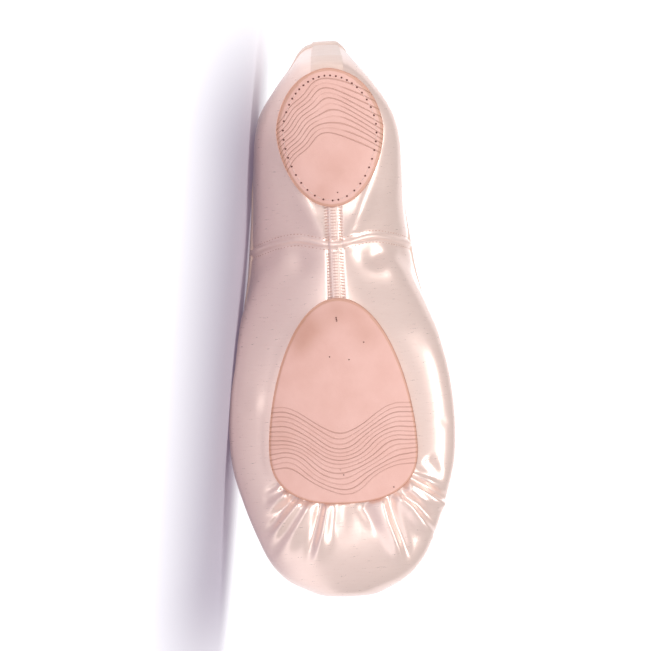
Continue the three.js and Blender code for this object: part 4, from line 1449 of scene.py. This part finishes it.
@dataclass
class LeatherSole:
    """One leather sole: a domed pad with scored waves, a soft top edge and a tan cut edge."""

    name: str
    node: str
    egg: Egg
    waves: Waves
    around: int = 420
    rings: int = 84
    dome: float = 0.25
    round_edge: float = 0.7

    def place(self, x: np.ndarray, y: np.ndarray, rise: np.ndarray | float) -> np.ndarray:
        """Points over places in plan, a distance outside the upper's smooth underside."""
        base, normal = LAST.under(x, y)
        rise = np.broadcast_to(rise, x.shape)
        return LIE.place(base + normal * rise[..., None], rise)

    def build(self) -> bpy.types.Object:
        """Makes the sole.

        Returns:
            The finished sole.
        """
        edge = self.egg.outline(self.around)
        centre = np.array([self.egg.start + self.egg.widest * self.egg.length, 0.0])
        edge = np.concatenate([edge, edge[:1]])
        shares = [1.0, 1.004, 1.004, 1.0]
        rises = [0.12, 0.5, SIZES.stack - 0.75, SIZES.stack - 0.3]
        inner = 1 - (np.linspace(0, 1, self.rings) ** 1.25)
        plan, rise = [], []
        for share, height in zip(shares, rises):
            plan.append(centre + (edge - centre) * share)
            rise.append(np.full(len(edge), height))
        reach = np.linalg.norm(edge - centre, axis=1)
        for share in inner[1:]:
            plan.append(centre + (edge - centre) * share)
            inward = reach * (1 - share)
            soft = self.round_edge * np.exp(-((inward / self.round_edge) ** 1.3)) * 0.55
            rise.append(SIZES.stack - soft + self.dome * (1 - share**2) - self.dome)
        plan, rise = np.stack(plan), np.stack(rise)
        points = self.place(plan[..., 0], plan[..., 1], rise)
        sole = Bench.sheet(self.name, points, plan, weld=0.01)
        self.mark(sole)
        return Bench.finish(sole, LeatherFinish(self.name + "_leather").material(), "sole_leather", [self.node], 50)

    def mark(self, sole: bpy.types.Object) -> None:
        """Keeps the waves, stains and cut edge as numbers on the vertices."""
        p = from_lying(Bench.vertices(sole))
        x, y = p[:, 0], p[:, 1]
        wave, scored = (self.valleys if self.waves is Waves.VALLEYS else self.arches)(x, y)
        base, _ = LAST.under(x, y)
        risen = np.linalg.norm(p - base, axis=1)
        Bench.number(sole, "wave", wave)
        Bench.number(sole, "scored", scored * (risen > SIZES.stack - 0.9))
        inside = self.egg.holds(x, y, 0.55)
        Bench.number(sole, "rim", np.where(inside, 0.0, 0.5))
        Bench.number(sole, "stained", self.stains(x, y))

    @staticmethod
    def valleys(x: np.ndarray, y: np.ndarray) -> tuple[np.ndarray, np.ndarray]:
        """The forefoot's waves: lines that dip towards the toe in the middle.

        Args:
            x: places along the foot.
            y: places to the left.

        Returns:
            How many line spacings each place lies past the first line, and how deep it is scored there.
        """
        first, spacing, count, depth, half = 169.0, 1.98, 13, 12.0, 25.5
        off = np.clip(np.abs(y - 0.8) / half, 0, 1.25)
        top = depth * (1 - np.cos(np.pi * np.minimum(off, 1))) / 2 - 1.0 * np.maximum(off - 1, 0)
        drift = 0.35 * np.sin(0.11 * y + 0.35 * x) + 0.25 * np.sin(0.23 * y - 0.2 * x + 1.3)
        wave = (x - (first - top)) / spacing + drift * smoothstep(x, 160, 175) * 0.8
        scored = smoothstep(wave, -0.45, -0.2) * (1 - smoothstep(wave, count + 0.2, count + 0.6))
        faint = 0.55 + 0.45 * np.cos(2.1 * wave + 0.05 * y) ** 2
        return wave, scored * faint

    @staticmethod
    def arches(x: np.ndarray, y: np.ndarray) -> tuple[np.ndarray, np.ndarray]:
        """The heel's waves: arches that crest towards the heel's back in the middle.

        Args:
            x: places along the foot.
            y: places to the left.

        Returns:
            How many line spacings each place lies past the first line, and how deep it is scored there.
        """
        first, spacing, last_line = 17.3, 2.35, 10.4
        bend, right_fall, left_fall = 7.0, 0.66, 1.15
        fall = np.where(y < 0, right_fall, left_fall) * (np.sqrt(y**2 + bend**2) - bend)
        wave = (x - fall - first) / spacing
        wave = wave + 0.25 * np.sin(0.33 * y + 0.3 * x)
        scored = smoothstep(wave, -0.6, -0.3) * (1 - smoothstep(wave, last_line - 0.2, last_line + 0.1))
        flank = 0.35 + 0.65 * smoothstep(np.abs(y), 3, 9)
        odd = np.where(np.abs(np.round(wave)) % 2 > 0.5, flank, 1.0)
        return wave, scored * odd

    def stains(self, x: np.ndarray, y: np.ndarray) -> np.ndarray:
        """Where the leather is smudged, from 0 to 1, in spots given by x, y, radius and depth."""
        if self.waves is Waves.ARCHES:
            spots = ((58.0, -2.0, 6.0, 0.25), (66.0, 4.0, 4.0, 0.25))
        else:
            spots = (
                (123.0, 12.0, 7.0, 0.75), (130.5, 16.5, 5.0, 0.6), (117.0, 1.0, 5.0, 0.5),
                (128.0, -12.0, 6.0, 0.45), (118.5, -8.0, 5.5, 0.35), (170.0, 26.0, 6.0, 0.25),
            )
        total = np.zeros(x.shape)
        for px, py, size, amount in spots:
            total = total + amount * np.exp(-((x - px) ** 2 + (y - py) ** 2) / size**2)
        return np.clip(total, 0, 1)


def frame_between(start: np.ndarray, end: np.ndarray, outwards: np.ndarray, width: float, height: float) -> np.ndarray:
    """The matrix that lays a model of unit length between two points.

    Args:
        start: where the model's low X end comes.
        end: where its high X end comes.
        outwards: the direction that its Z turns to.
        width: scale across.
        height: scale outwards.

    Returns:
        A 4 by 4 matrix in millimetres.
    """
    along = end - start
    length = np.linalg.norm(along)
    along = along / length
    across = np.cross(outwards, along)
    across /= np.linalg.norm(across)
    up = np.cross(along, across)
    made = np.eye(4)
    made[:3, 0], made[:3, 1], made[:3, 2] = along * length, across * width, up * height
    made[:3, 3] = (start + end) / 2
    return made


def stitch_model() -> bpy.types.Object:
    """One stitch of unit length: a short run of twisted thread that dives in at both ends."""
    Bench.clear()
    bpy.ops.mesh.primitive_cylinder_add(
        vertices=8, radius=0.5, depth=1.0, location=(0, 0, 0), rotation=(0, math.pi / 2, 0), end_fill_type="TRIFAN"
    )
    model = bpy.context.object
    bpy.ops.object.transform_apply(location=True, rotation=True, scale=True)
    for x in (-0.3, 0.0, 0.3):
        Bench.edit(lambda: bpy.ops.mesh.bisect(plane_co=(x, 0, 0), plane_no=(1, 0, 0)))
    for vertex in model.data.vertices:
        pinch = math.sqrt(max(0.0, 1 - (2 * abs(vertex.co.x)) ** 2.4)) * 0.75 + 0.25
        vertex.co.y *= pinch
        vertex.co.z = vertex.co.z * pinch - 0.55 * (2 * vertex.co.x) ** 2
    return model


def hole_model() -> bpy.types.Object:
    """One pricked hole of unit radius: a small dimple with a soft lip, which the soles' finish makes dark as painted
    shade.
    """
    Bench.clear()
    bpy.ops.mesh.primitive_circle_add(vertices=12, radius=1.0, fill_type="TRIFAN", location=(0, 0, 0))
    model = bpy.context.object
    Bench.edit(lambda: bpy.ops.mesh.inset(thickness=0.3))
    for vertex in model.data.vertices:
        vertex.co.z = -0.25 * (1 - min(1.0, math.hypot(vertex.co.x, vertex.co.y)) ** 2)
    return model


class Sewing:
    """Rows of stitches, laid on the satin or the leather."""

    @staticmethod
    def rows(
        name: str, lines: Sequence[tuple[np.ndarray, np.ndarray]], thread: ThreadFinish, width: float, slot: str
    ) -> bpy.types.Object:
        """Stitches between pairs of points, as one piece.

        Args:
            name: the piece's name.
            lines: for each row its points, two for each stitch, and the outward directions, one for each stitch.
            thread: the thread's finish.
            width: the thread's width, in millimetres.
            slot: the record's material slot.

        Returns:
            The piece.
        """
        frames = []
        for points, outwards in lines:
            for k in range(len(outwards)):
                frames.append(frame_between(points[2 * k], points[2 * k + 1], outwards[k], width, width))
        piece = Bench.repeat(name, stitch_model(), frames)
        return Bench.finish(piece, thread.material(), slot, crisp=80)

    @staticmethod
    def on_satin(x: np.ndarray, run: np.ndarray, rise: float, filled: float = 0.72) -> tuple[np.ndarray, np.ndarray]:
        """A row of stitches on the satin from neighbouring holes.

        Args:
            x: the holes' places along the foot.
            run: their signed runs.
            rise: how far the thread stands out, in millimetres.
            filled: the share of each step that the stitch covers.

        Returns:
            Two points for each stitch, and its outward direction.
        """
        gap = (1 - filled) / 2
        starts = mix(x[:-1], x[1:], gap), mix(run[:-1], run[1:], gap)
        ends = mix(x[:-1], x[1:], 1 - gap), mix(run[:-1], run[1:], 1 - gap)
        a, b = SKIN.satin(*starts, rise), SKIN.satin(*ends, rise)
        middle = (starts[0] + ends[0]) / 2, (starts[1] + ends[1]) / 2
        outwards = SKIN.smooth(*middle)[1] @ LIE.turn.T
        return paired(a, b), outwards


@dataclass
class ArchSeam:
    """The turned seam that joins vamp and quarters, with a row of stitches on each side."""

    half_width: float = 1.5
    rise: float = 0.22
    stitch_off: float = 2.35
    stitch_step: float = 1.75

    @staticmethod
    def reach(side: int) -> float:
        """The run at which the seam meets the collar binding."""
        x = ARCH_LINE.places[-1 if side > 0 else 0]
        row = float(LAST.row_at(x))
        top = float(LAST.limit(LAST.section(row), SIZES.binding_width + 0.1))
        return side * LAST.half_arc(row, side, top)[1][-1]

    def build(self) -> None:
        """Makes the seam's welt and its stitches."""
        run = np.linspace(self.reach(-1), self.reach(1), 300)
        off = np.linspace(-1, 1, 13)
        x = ARCH_LINE.x(run)[:, None] + off[None] * self.half_width
        rise = self.rise * (1 - off**2) - 0.06 * off**4
        points = SKIN.satin(x, run[:, None], rise[None])
        uv = np.stack([np.broadcast_to(run[:, None], x.shape), x], -1)
        welt = Bench.sheet("arch_seam_welt", points, uv)
        outwards(welt)
        satin = SatinFinish("seam_satin", roughness=0.4, bump=0.35).material()
        Bench.finish(welt, satin, "seam_satin", ["arch_seam"], 180)
        holes = np.arange(self.reach(-1) + 1.5, self.reach(1) - 1.0, self.stitch_step)
        lines = [Sewing.on_satin(ARCH_LINE.x(holes) + side * self.stitch_off, holes, 0.1) for side in (-1, 1)]
        Sewing.rows("arch_seam_stitches", lines, ThreadFinish("seam_thread", (226, 184, 168)), 0.42, "seam_satin")


@dataclass
class CentreSeam:
    """One of the two flat seams along the arch: a welt with cross stitches on both sides."""

    name: str
    node: str
    start: float
    end: float
    half_width: float = 1.7
    rise: float = 0.3
    tick_step: float = 1.25
    tick_reach: float = 2.3

    def build(self) -> None:
        """Makes the welt and its stitches."""
        x = np.linspace(self.start, self.end, 90)
        off = np.linspace(-1, 1, 11)
        run = off * self.half_width
        ribs = 0.1 * np.cos(off * math.pi * 2)
        rise = self.rise * (1 - off**6) + ribs - 0.1 - 0.25 * off**8
        points = SKIN.satin(x[:, None], run[None], rise[None])
        uv = np.stack([np.broadcast_to(x[:, None], points.shape[:2]), np.broadcast_to(run, points.shape[:2])], -1)
        welt = Bench.sheet(self.name, points, uv)
        outwards(welt)
        satin = SatinFinish(self.name + "_satin", roughness=0.45, bump=0.4).material()
        Bench.finish(welt, satin, "seam_satin", [self.node], 180)
        lines = []
        ticks = np.arange(self.start + 0.8, self.end - 0.4, self.tick_step)
        for side in (-1, 1):
            near = np.full(len(ticks), side * (self.half_width + 0.15))
            far = near + side * self.tick_reach
            a, b = SKIN.satin(ticks, near, 0.08), SKIN.satin(ticks + 0.35, far, 0.08)
            lines.append((paired(a, b), SKIN.smooth(ticks, near)[1] @ LIE.turn.T))
        reach = np.full(len(ticks), self.half_width * 0.8)
        a, b = (SKIN.satin(ticks, side * reach, self.rise + 0.02) for side in (-1, 1))
        lines.append((paired(a, b), SKIN.smooth(ticks, 0 * ticks)[1] @ LIE.turn.T))
        thread = ThreadFinish(self.name + "_thread", (228, 188, 172))
        Sewing.rows(self.name + "_stitches", lines, thread, 0.36, "seam_satin")


def outwards(piece: bpy.types.Object) -> None:
    """Turns an open strip's faces to the side that the shoe's middle can't see."""
    centre = LIE.place(np.array([[120.0, 0.0, 28.0]]), flat=False)[0] * MM
    middle = piece.data.polygons[len(piece.data.polygons) // 2]
    if middle.normal.dot(middle.center - Vector(centre)) < 0:
        Bench.use(piece)
        Bench.edit(bpy.ops.mesh.flip_normals)


@dataclass
class SolePricks:
    """The heel sole's stitched ring, and the pin holes and the nail slot in both soles."""

    ring_inset: float = 2.7
    hole_radius: float = 0.42
    # shares of the outline at which the step between holes changes, with the step there, in millimetres
    steps: tuple[tuple[float, float], ...] = ((0.0, 3.9), (0.3, 3.9), (0.38, 2.4), (0.56, 2.4), (0.62, 3.6), (1.0, 3.9))
    pins: tuple[tuple[float, float], ...] = (
        (120.2, 0.7), (120.9, 0.6), (121.6, 0.5),
        (33.2, 4.0), (45.6, 1.6), (66.0, -2.2), (136.5, 4.2), (138.0, -4.0), (131.0, -10.5), (174.2, -9.4),
        (174.3, 7.5), (181.8, -6.4), (179.6, 1.4), (184.6, 1.6), (186.8, 0.4), (192.8, -20.6),
    )
    pin_radius: float = 0.3

    def build(self) -> None:
        """Makes the holes and the thread between them."""
        fine = HEEL.outline(1600, self.ring_inset)
        run = run_along(fine)
        table = np.array(self.steps)
        places, place = [], 0.0
        while place < run[-1] - 1.5:
            places.append(place)
            place += float(np.interp(place / run[-1], table[:, 0], table[:, 1]))
        holes = np.stack([np.interp(places, run, fine[:, k]) for k in range(2)], 1)
        frames = [self.upright(x, y, self.hole_radius, -0.05) for x, y in holes]
        frames += [self.upright(x, y, self.pin_radius, 0.03) for x, y in self.pins]
        pricks = Bench.repeat("sole_pricks", hole_model(), frames)
        # the holes and pin holes are dark brown as painted shade inside them
        Bench.finish(pricks, ThreadFinish("prick_shadow", (112, 66, 58), 0.9).material(), "sole_leather", crisp=80)
        after = np.roll(holes, -1, axis=0)
        a, b = mix(holes, after, 0.16), mix(holes, after, 0.84)
        points = paired(*(self.on_sole(end[:, 0], end[:, 1], -0.05) for end in (a, b)))
        up = LAST.under(holes[:, 0], holes[:, 1])[1] @ LIE.turn.T
        thread = ThreadFinish("sole_thread", (243, 206, 194))
        Sewing.rows("heel_sole_stitches", [(points, up)], thread, 0.42, "sole_leather")

    @staticmethod
    def on_sole(x: np.ndarray, y: np.ndarray, rise: float) -> np.ndarray:
        """Points a distance outside the tread, where the shoe lies."""
        base, normal = LAST.under(x, y)
        return LIE.place(base + normal * (SIZES.stack - 0.12 + rise))

    def upright(self, x: float, y: float, radius: float, rise: float) -> np.ndarray:
        """The matrix that lays a hole on the tread at a place in plan."""
        x, y = np.array([x]), np.array([y])
        centre = self.on_sole(x, y, rise + 0.08)[0]
        normal = (LAST.under(x, y)[1] @ LIE.turn.T)[0]
        along = LIE.turn @ np.array([1.0, 0, 0])
        across = np.cross(normal, along)
        across /= np.linalg.norm(across)
        made = np.eye(4)
        made[:3, 0], made[:3, 1], made[:3, 2] = np.cross(across, normal) * radius, across * radius, normal * radius
        made[:3, 3] = centre
        return made


@dataclass
class Insole:
    """The cotton-covered insole inside the shoe."""

    table: tuple[tuple[float, float], ...] = (
        (0.035, 0.4), (0.06, 0.66), (0.12, 0.76), (0.2, 0.7), (0.33, 0.46), (0.42, 0.44),
        (0.52, 0.55), (0.66, 0.7), (0.8, 0.68), (0.9, 0.6), (0.93, 0.42),
    )
    along: int = 110
    across: int = 30

    def build(self) -> None:
        """Makes the insole."""
        table = np.array(self.table)
        share = np.linspace(table[0, 0], table[-1, 0], self.along)
        width = np.interp(share, table[:, 0], table[:, 1])
        kernel = np.hanning(9)
        width = np.convolve(np.pad(width, 4, mode="edge"), kernel / kernel.sum(), "valid")
        ends = np.clip((share - share[0]) / 0.02, 0, 1) * np.clip((share[-1] - share) / 0.02, 0, 1)
        x = share * SIZES.length
        half = LAST.section(LAST.row_at(x))["side"] * width * np.sqrt(np.clip(ends, 0.02, 1))
        v = np.linspace(-1, 1, self.across + 1)
        plan_x = np.broadcast_to(x[:, None], (self.along, self.across + 1))
        plan_y = half[:, None] * v
        base, normal = LAST.under(plan_x, plan_y)
        wall = LAST.wall(plan_x)
        top = wall + SIZES.gap + SIZES.insole_thickness - 0.5 * np.abs(v) ** 8
        low = wall + SIZES.gap
        upper_face = LIE.place(base - normal * top[..., None], -top)
        under_face = LIE.place(base - normal * np.broadcast_to(low, top.shape)[..., None], -low)
        points = np.concatenate([upper_face, under_face[:, ::-1], upper_face[:, :1]], 1)
        uv = np.stack([plan_x, plan_y], -1)
        uv = np.concatenate([uv, uv[:, ::-1], uv[:, :1]], 1)
        insole = Bench.sheet("insole_pad", points, uv)
        Bench.use(insole)
        bpy.ops.object.mode_set(mode="EDIT")
        bpy.ops.mesh.select_all(action="DESELECT")
        bpy.ops.mesh.select_non_manifold()
        bpy.ops.mesh.edge_face_add()
        bpy.ops.mesh.select_all(action="SELECT")
        bpy.ops.mesh.normals_make_consistent(inside=False)
        bpy.ops.object.mode_set(mode="OBJECT")
        cotton = CottonFinish("insole_canvas", (232, 210, 190), (212, 186, 164), threads=1.0)
        Bench.finish(insole, cotton.material(), "insole_cotton", ["insole"], 50)


@dataclass
class Studio:
    """The pale floor and backdrop, the lights and the camera."""

    scale_mm: float = 0.428
    image: int = 651
    distance: float = 2.0
    sensor: float = 36.0
    tilt: float = 0.0433
    origin_px: tuple[float, float] = (325.6, 38.0)
    plane_z: float = 10.0

    def build(self) -> None:
        """Makes the stage, the lights and the camera."""
        self.build_stage()
        self.build_lights()
        self.build_camera()

    def build_stage(self) -> None:
        """A seamless sheet of paper: floor, curve and back wall."""
        Bench.clear()
        bpy.ops.mesh.primitive_plane_add(size=12.0, location=(0, -3.0, 0))
        paper = bpy.context.object
        paper.name = paper.data.name = "studio_paper"
        bpy.ops.object.transform_apply(location=True, rotation=False, scale=False)
        back = [e.index for e in paper.data.edges if all(paper.data.vertices[v].co.y > 2.9 for v in e.vertices)]
        bpy.ops.object.mode_set(mode="EDIT")
        bpy.ops.mesh.select_mode(type="EDGE")
        bpy.ops.mesh.select_all(action="DESELECT")
        bpy.ops.object.mode_set(mode="OBJECT")
        for index in back:
            paper.data.edges[index].select = True
        bpy.ops.object.mode_set(mode="EDIT")
        bpy.ops.mesh.extrude_region_move(TRANSFORM_OT_translate={"value": (0, 0.0, 4.0)})
        bpy.ops.mesh.select_all(action="DESELECT")
        bpy.ops.object.mode_set(mode="OBJECT")
        for e in paper.data.edges:
            ends = [paper.data.vertices[v].co for v in e.vertices]
            e.select = all(abs(end.y - 3.0) < 0.01 and end.z < 0.01 for end in ends)
        bpy.ops.object.mode_set(mode="EDIT")
        bpy.ops.mesh.bevel(offset=1.2, segments=16)
        bpy.ops.object.mode_set(mode="OBJECT")
        # the paper shines by its own emission as painted light, with a painted soft shadow round the shoe
        paper.data.materials.append(StageFinish("studio_paper").material())
        bpy.ops.object.shade_smooth()

    def light(
        self,
        name: str,
        place: Sequence[float],
        aim: Sequence[float],
        size: Sequence[float],
        power: float,
        colour: Sequence[float],
    ) -> None:
        """An area light.

        Args:
            name: its name.
            place: where it hangs, in metres.
            aim: the point that it faces.
            size: its width and height.
            power: its power in watts.
            colour: its colour.
        """
        data = bpy.data.lights.new(name, "AREA")
        data.shape = "RECTANGLE"
        data.size, data.size_y = size
        data.energy = power
        data.color = colour
        lamp = bpy.data.objects.new(name, data)
        bpy.context.scene.collection.objects.link(lamp)
        lamp.location = place
        lamp.rotation_mode = "QUATERNION"
        lamp.rotation_quaternion = (Vector(aim) - Vector(place)).to_track_quat("-Z", "Y")

    def build_lights(self) -> None:
        """A narrow softbox above, a wide low one behind the camera, a weak one behind, and a pale surround."""
        self.light("softbox_above", (0.05, -0.8, 1.12), (0, 0, 0.05), (1.5, 0.26), 10.5, (1.0, 0.985, 0.97))
        self.light("fill_front", (-0.25, -2.6, 0.17), (0, 0, 0.05), (2.4, 0.3), 20.0, (1.0, 0.985, 0.97))
        self.light("low_back", (0.1, 1.9, 0.55), (0, -0.2, 0.0), (1.6, 0.5), 6.0, (1.0, 0.99, 0.98))
        world = bpy.data.worlds.new("studio_surround")
        world.use_nodes = True
        world.node_tree.nodes["Background"].inputs["Color"].default_value = (0.97, 0.96, 1.0, 1)
        world.node_tree.nodes["Background"].inputs["Strength"].default_value = 0.35
        bpy.context.scene.world = world
        bpy.context.scene.view_settings.view_transform = "Standard"

    def build_camera(self) -> None:
        """A long lens square to the soles, rolled so that the toe points down."""
        size = math.hypot(1, self.tilt)
        lean, straight = self.tilt / size, 1 / size
        right = np.array([lean, -straight, 0.0])
        down = np.array([straight, lean, 0.0])
        off = (np.array([self.image / 2, self.image / 2]) - self.origin_px) * self.scale_mm
        aim = LIE.place(np.array([*(right * off[0] + down * off[1])[:2], self.plane_z])[None], flat=False)[0] * MM
        right, down = LIE.turn @ right, LIE.turn @ down
        back = np.cross(right, -down)
        data = bpy.data.cameras.new("camera")
        data.sensor_width = self.sensor
        data.lens = self.sensor * self.distance / (self.image * self.scale_mm * MM)
        camera = bpy.data.objects.new("camera", data)
        bpy.context.scene.collection.objects.link(camera)
        turn = Matrix([[right[i], -down[i], back[i]] for i in range(3)])
        camera.matrix_world = Matrix.Translation(Vector(aim + back * self.distance)) @ turn.to_4x4()
        bpy.context.scene.camera = camera


def main() -> None:
    """Builds the shoe from the upper outwards, then the studio round it."""
    logging.basicConfig(level=logging.INFO, format="%(name)s %(message)s")
    Upper().build()
    CollarBinding().build()
    HeelTape().build()
    LeatherSole("forefoot_leather_sole", "forefoot_sole", FOREFOOT, Waves.VALLEYS).build()
    LeatherSole("heel_leather_sole", "heel_sole", HEEL, Waves.ARCHES, around=340, rings=64).build()
    SolePricks().build()
    ArchSeam().build()
    CentreSeam("centre_seam_rear_welt", "centre_seam_rear", 70.5, 86.8).build()
    CentreSeam("centre_seam_front_welt", "centre_seam_front", 91.4, 114.5, 1.5).build()
    Insole().build()
    Studio().build()


if __name__ == "__main__":
    main()
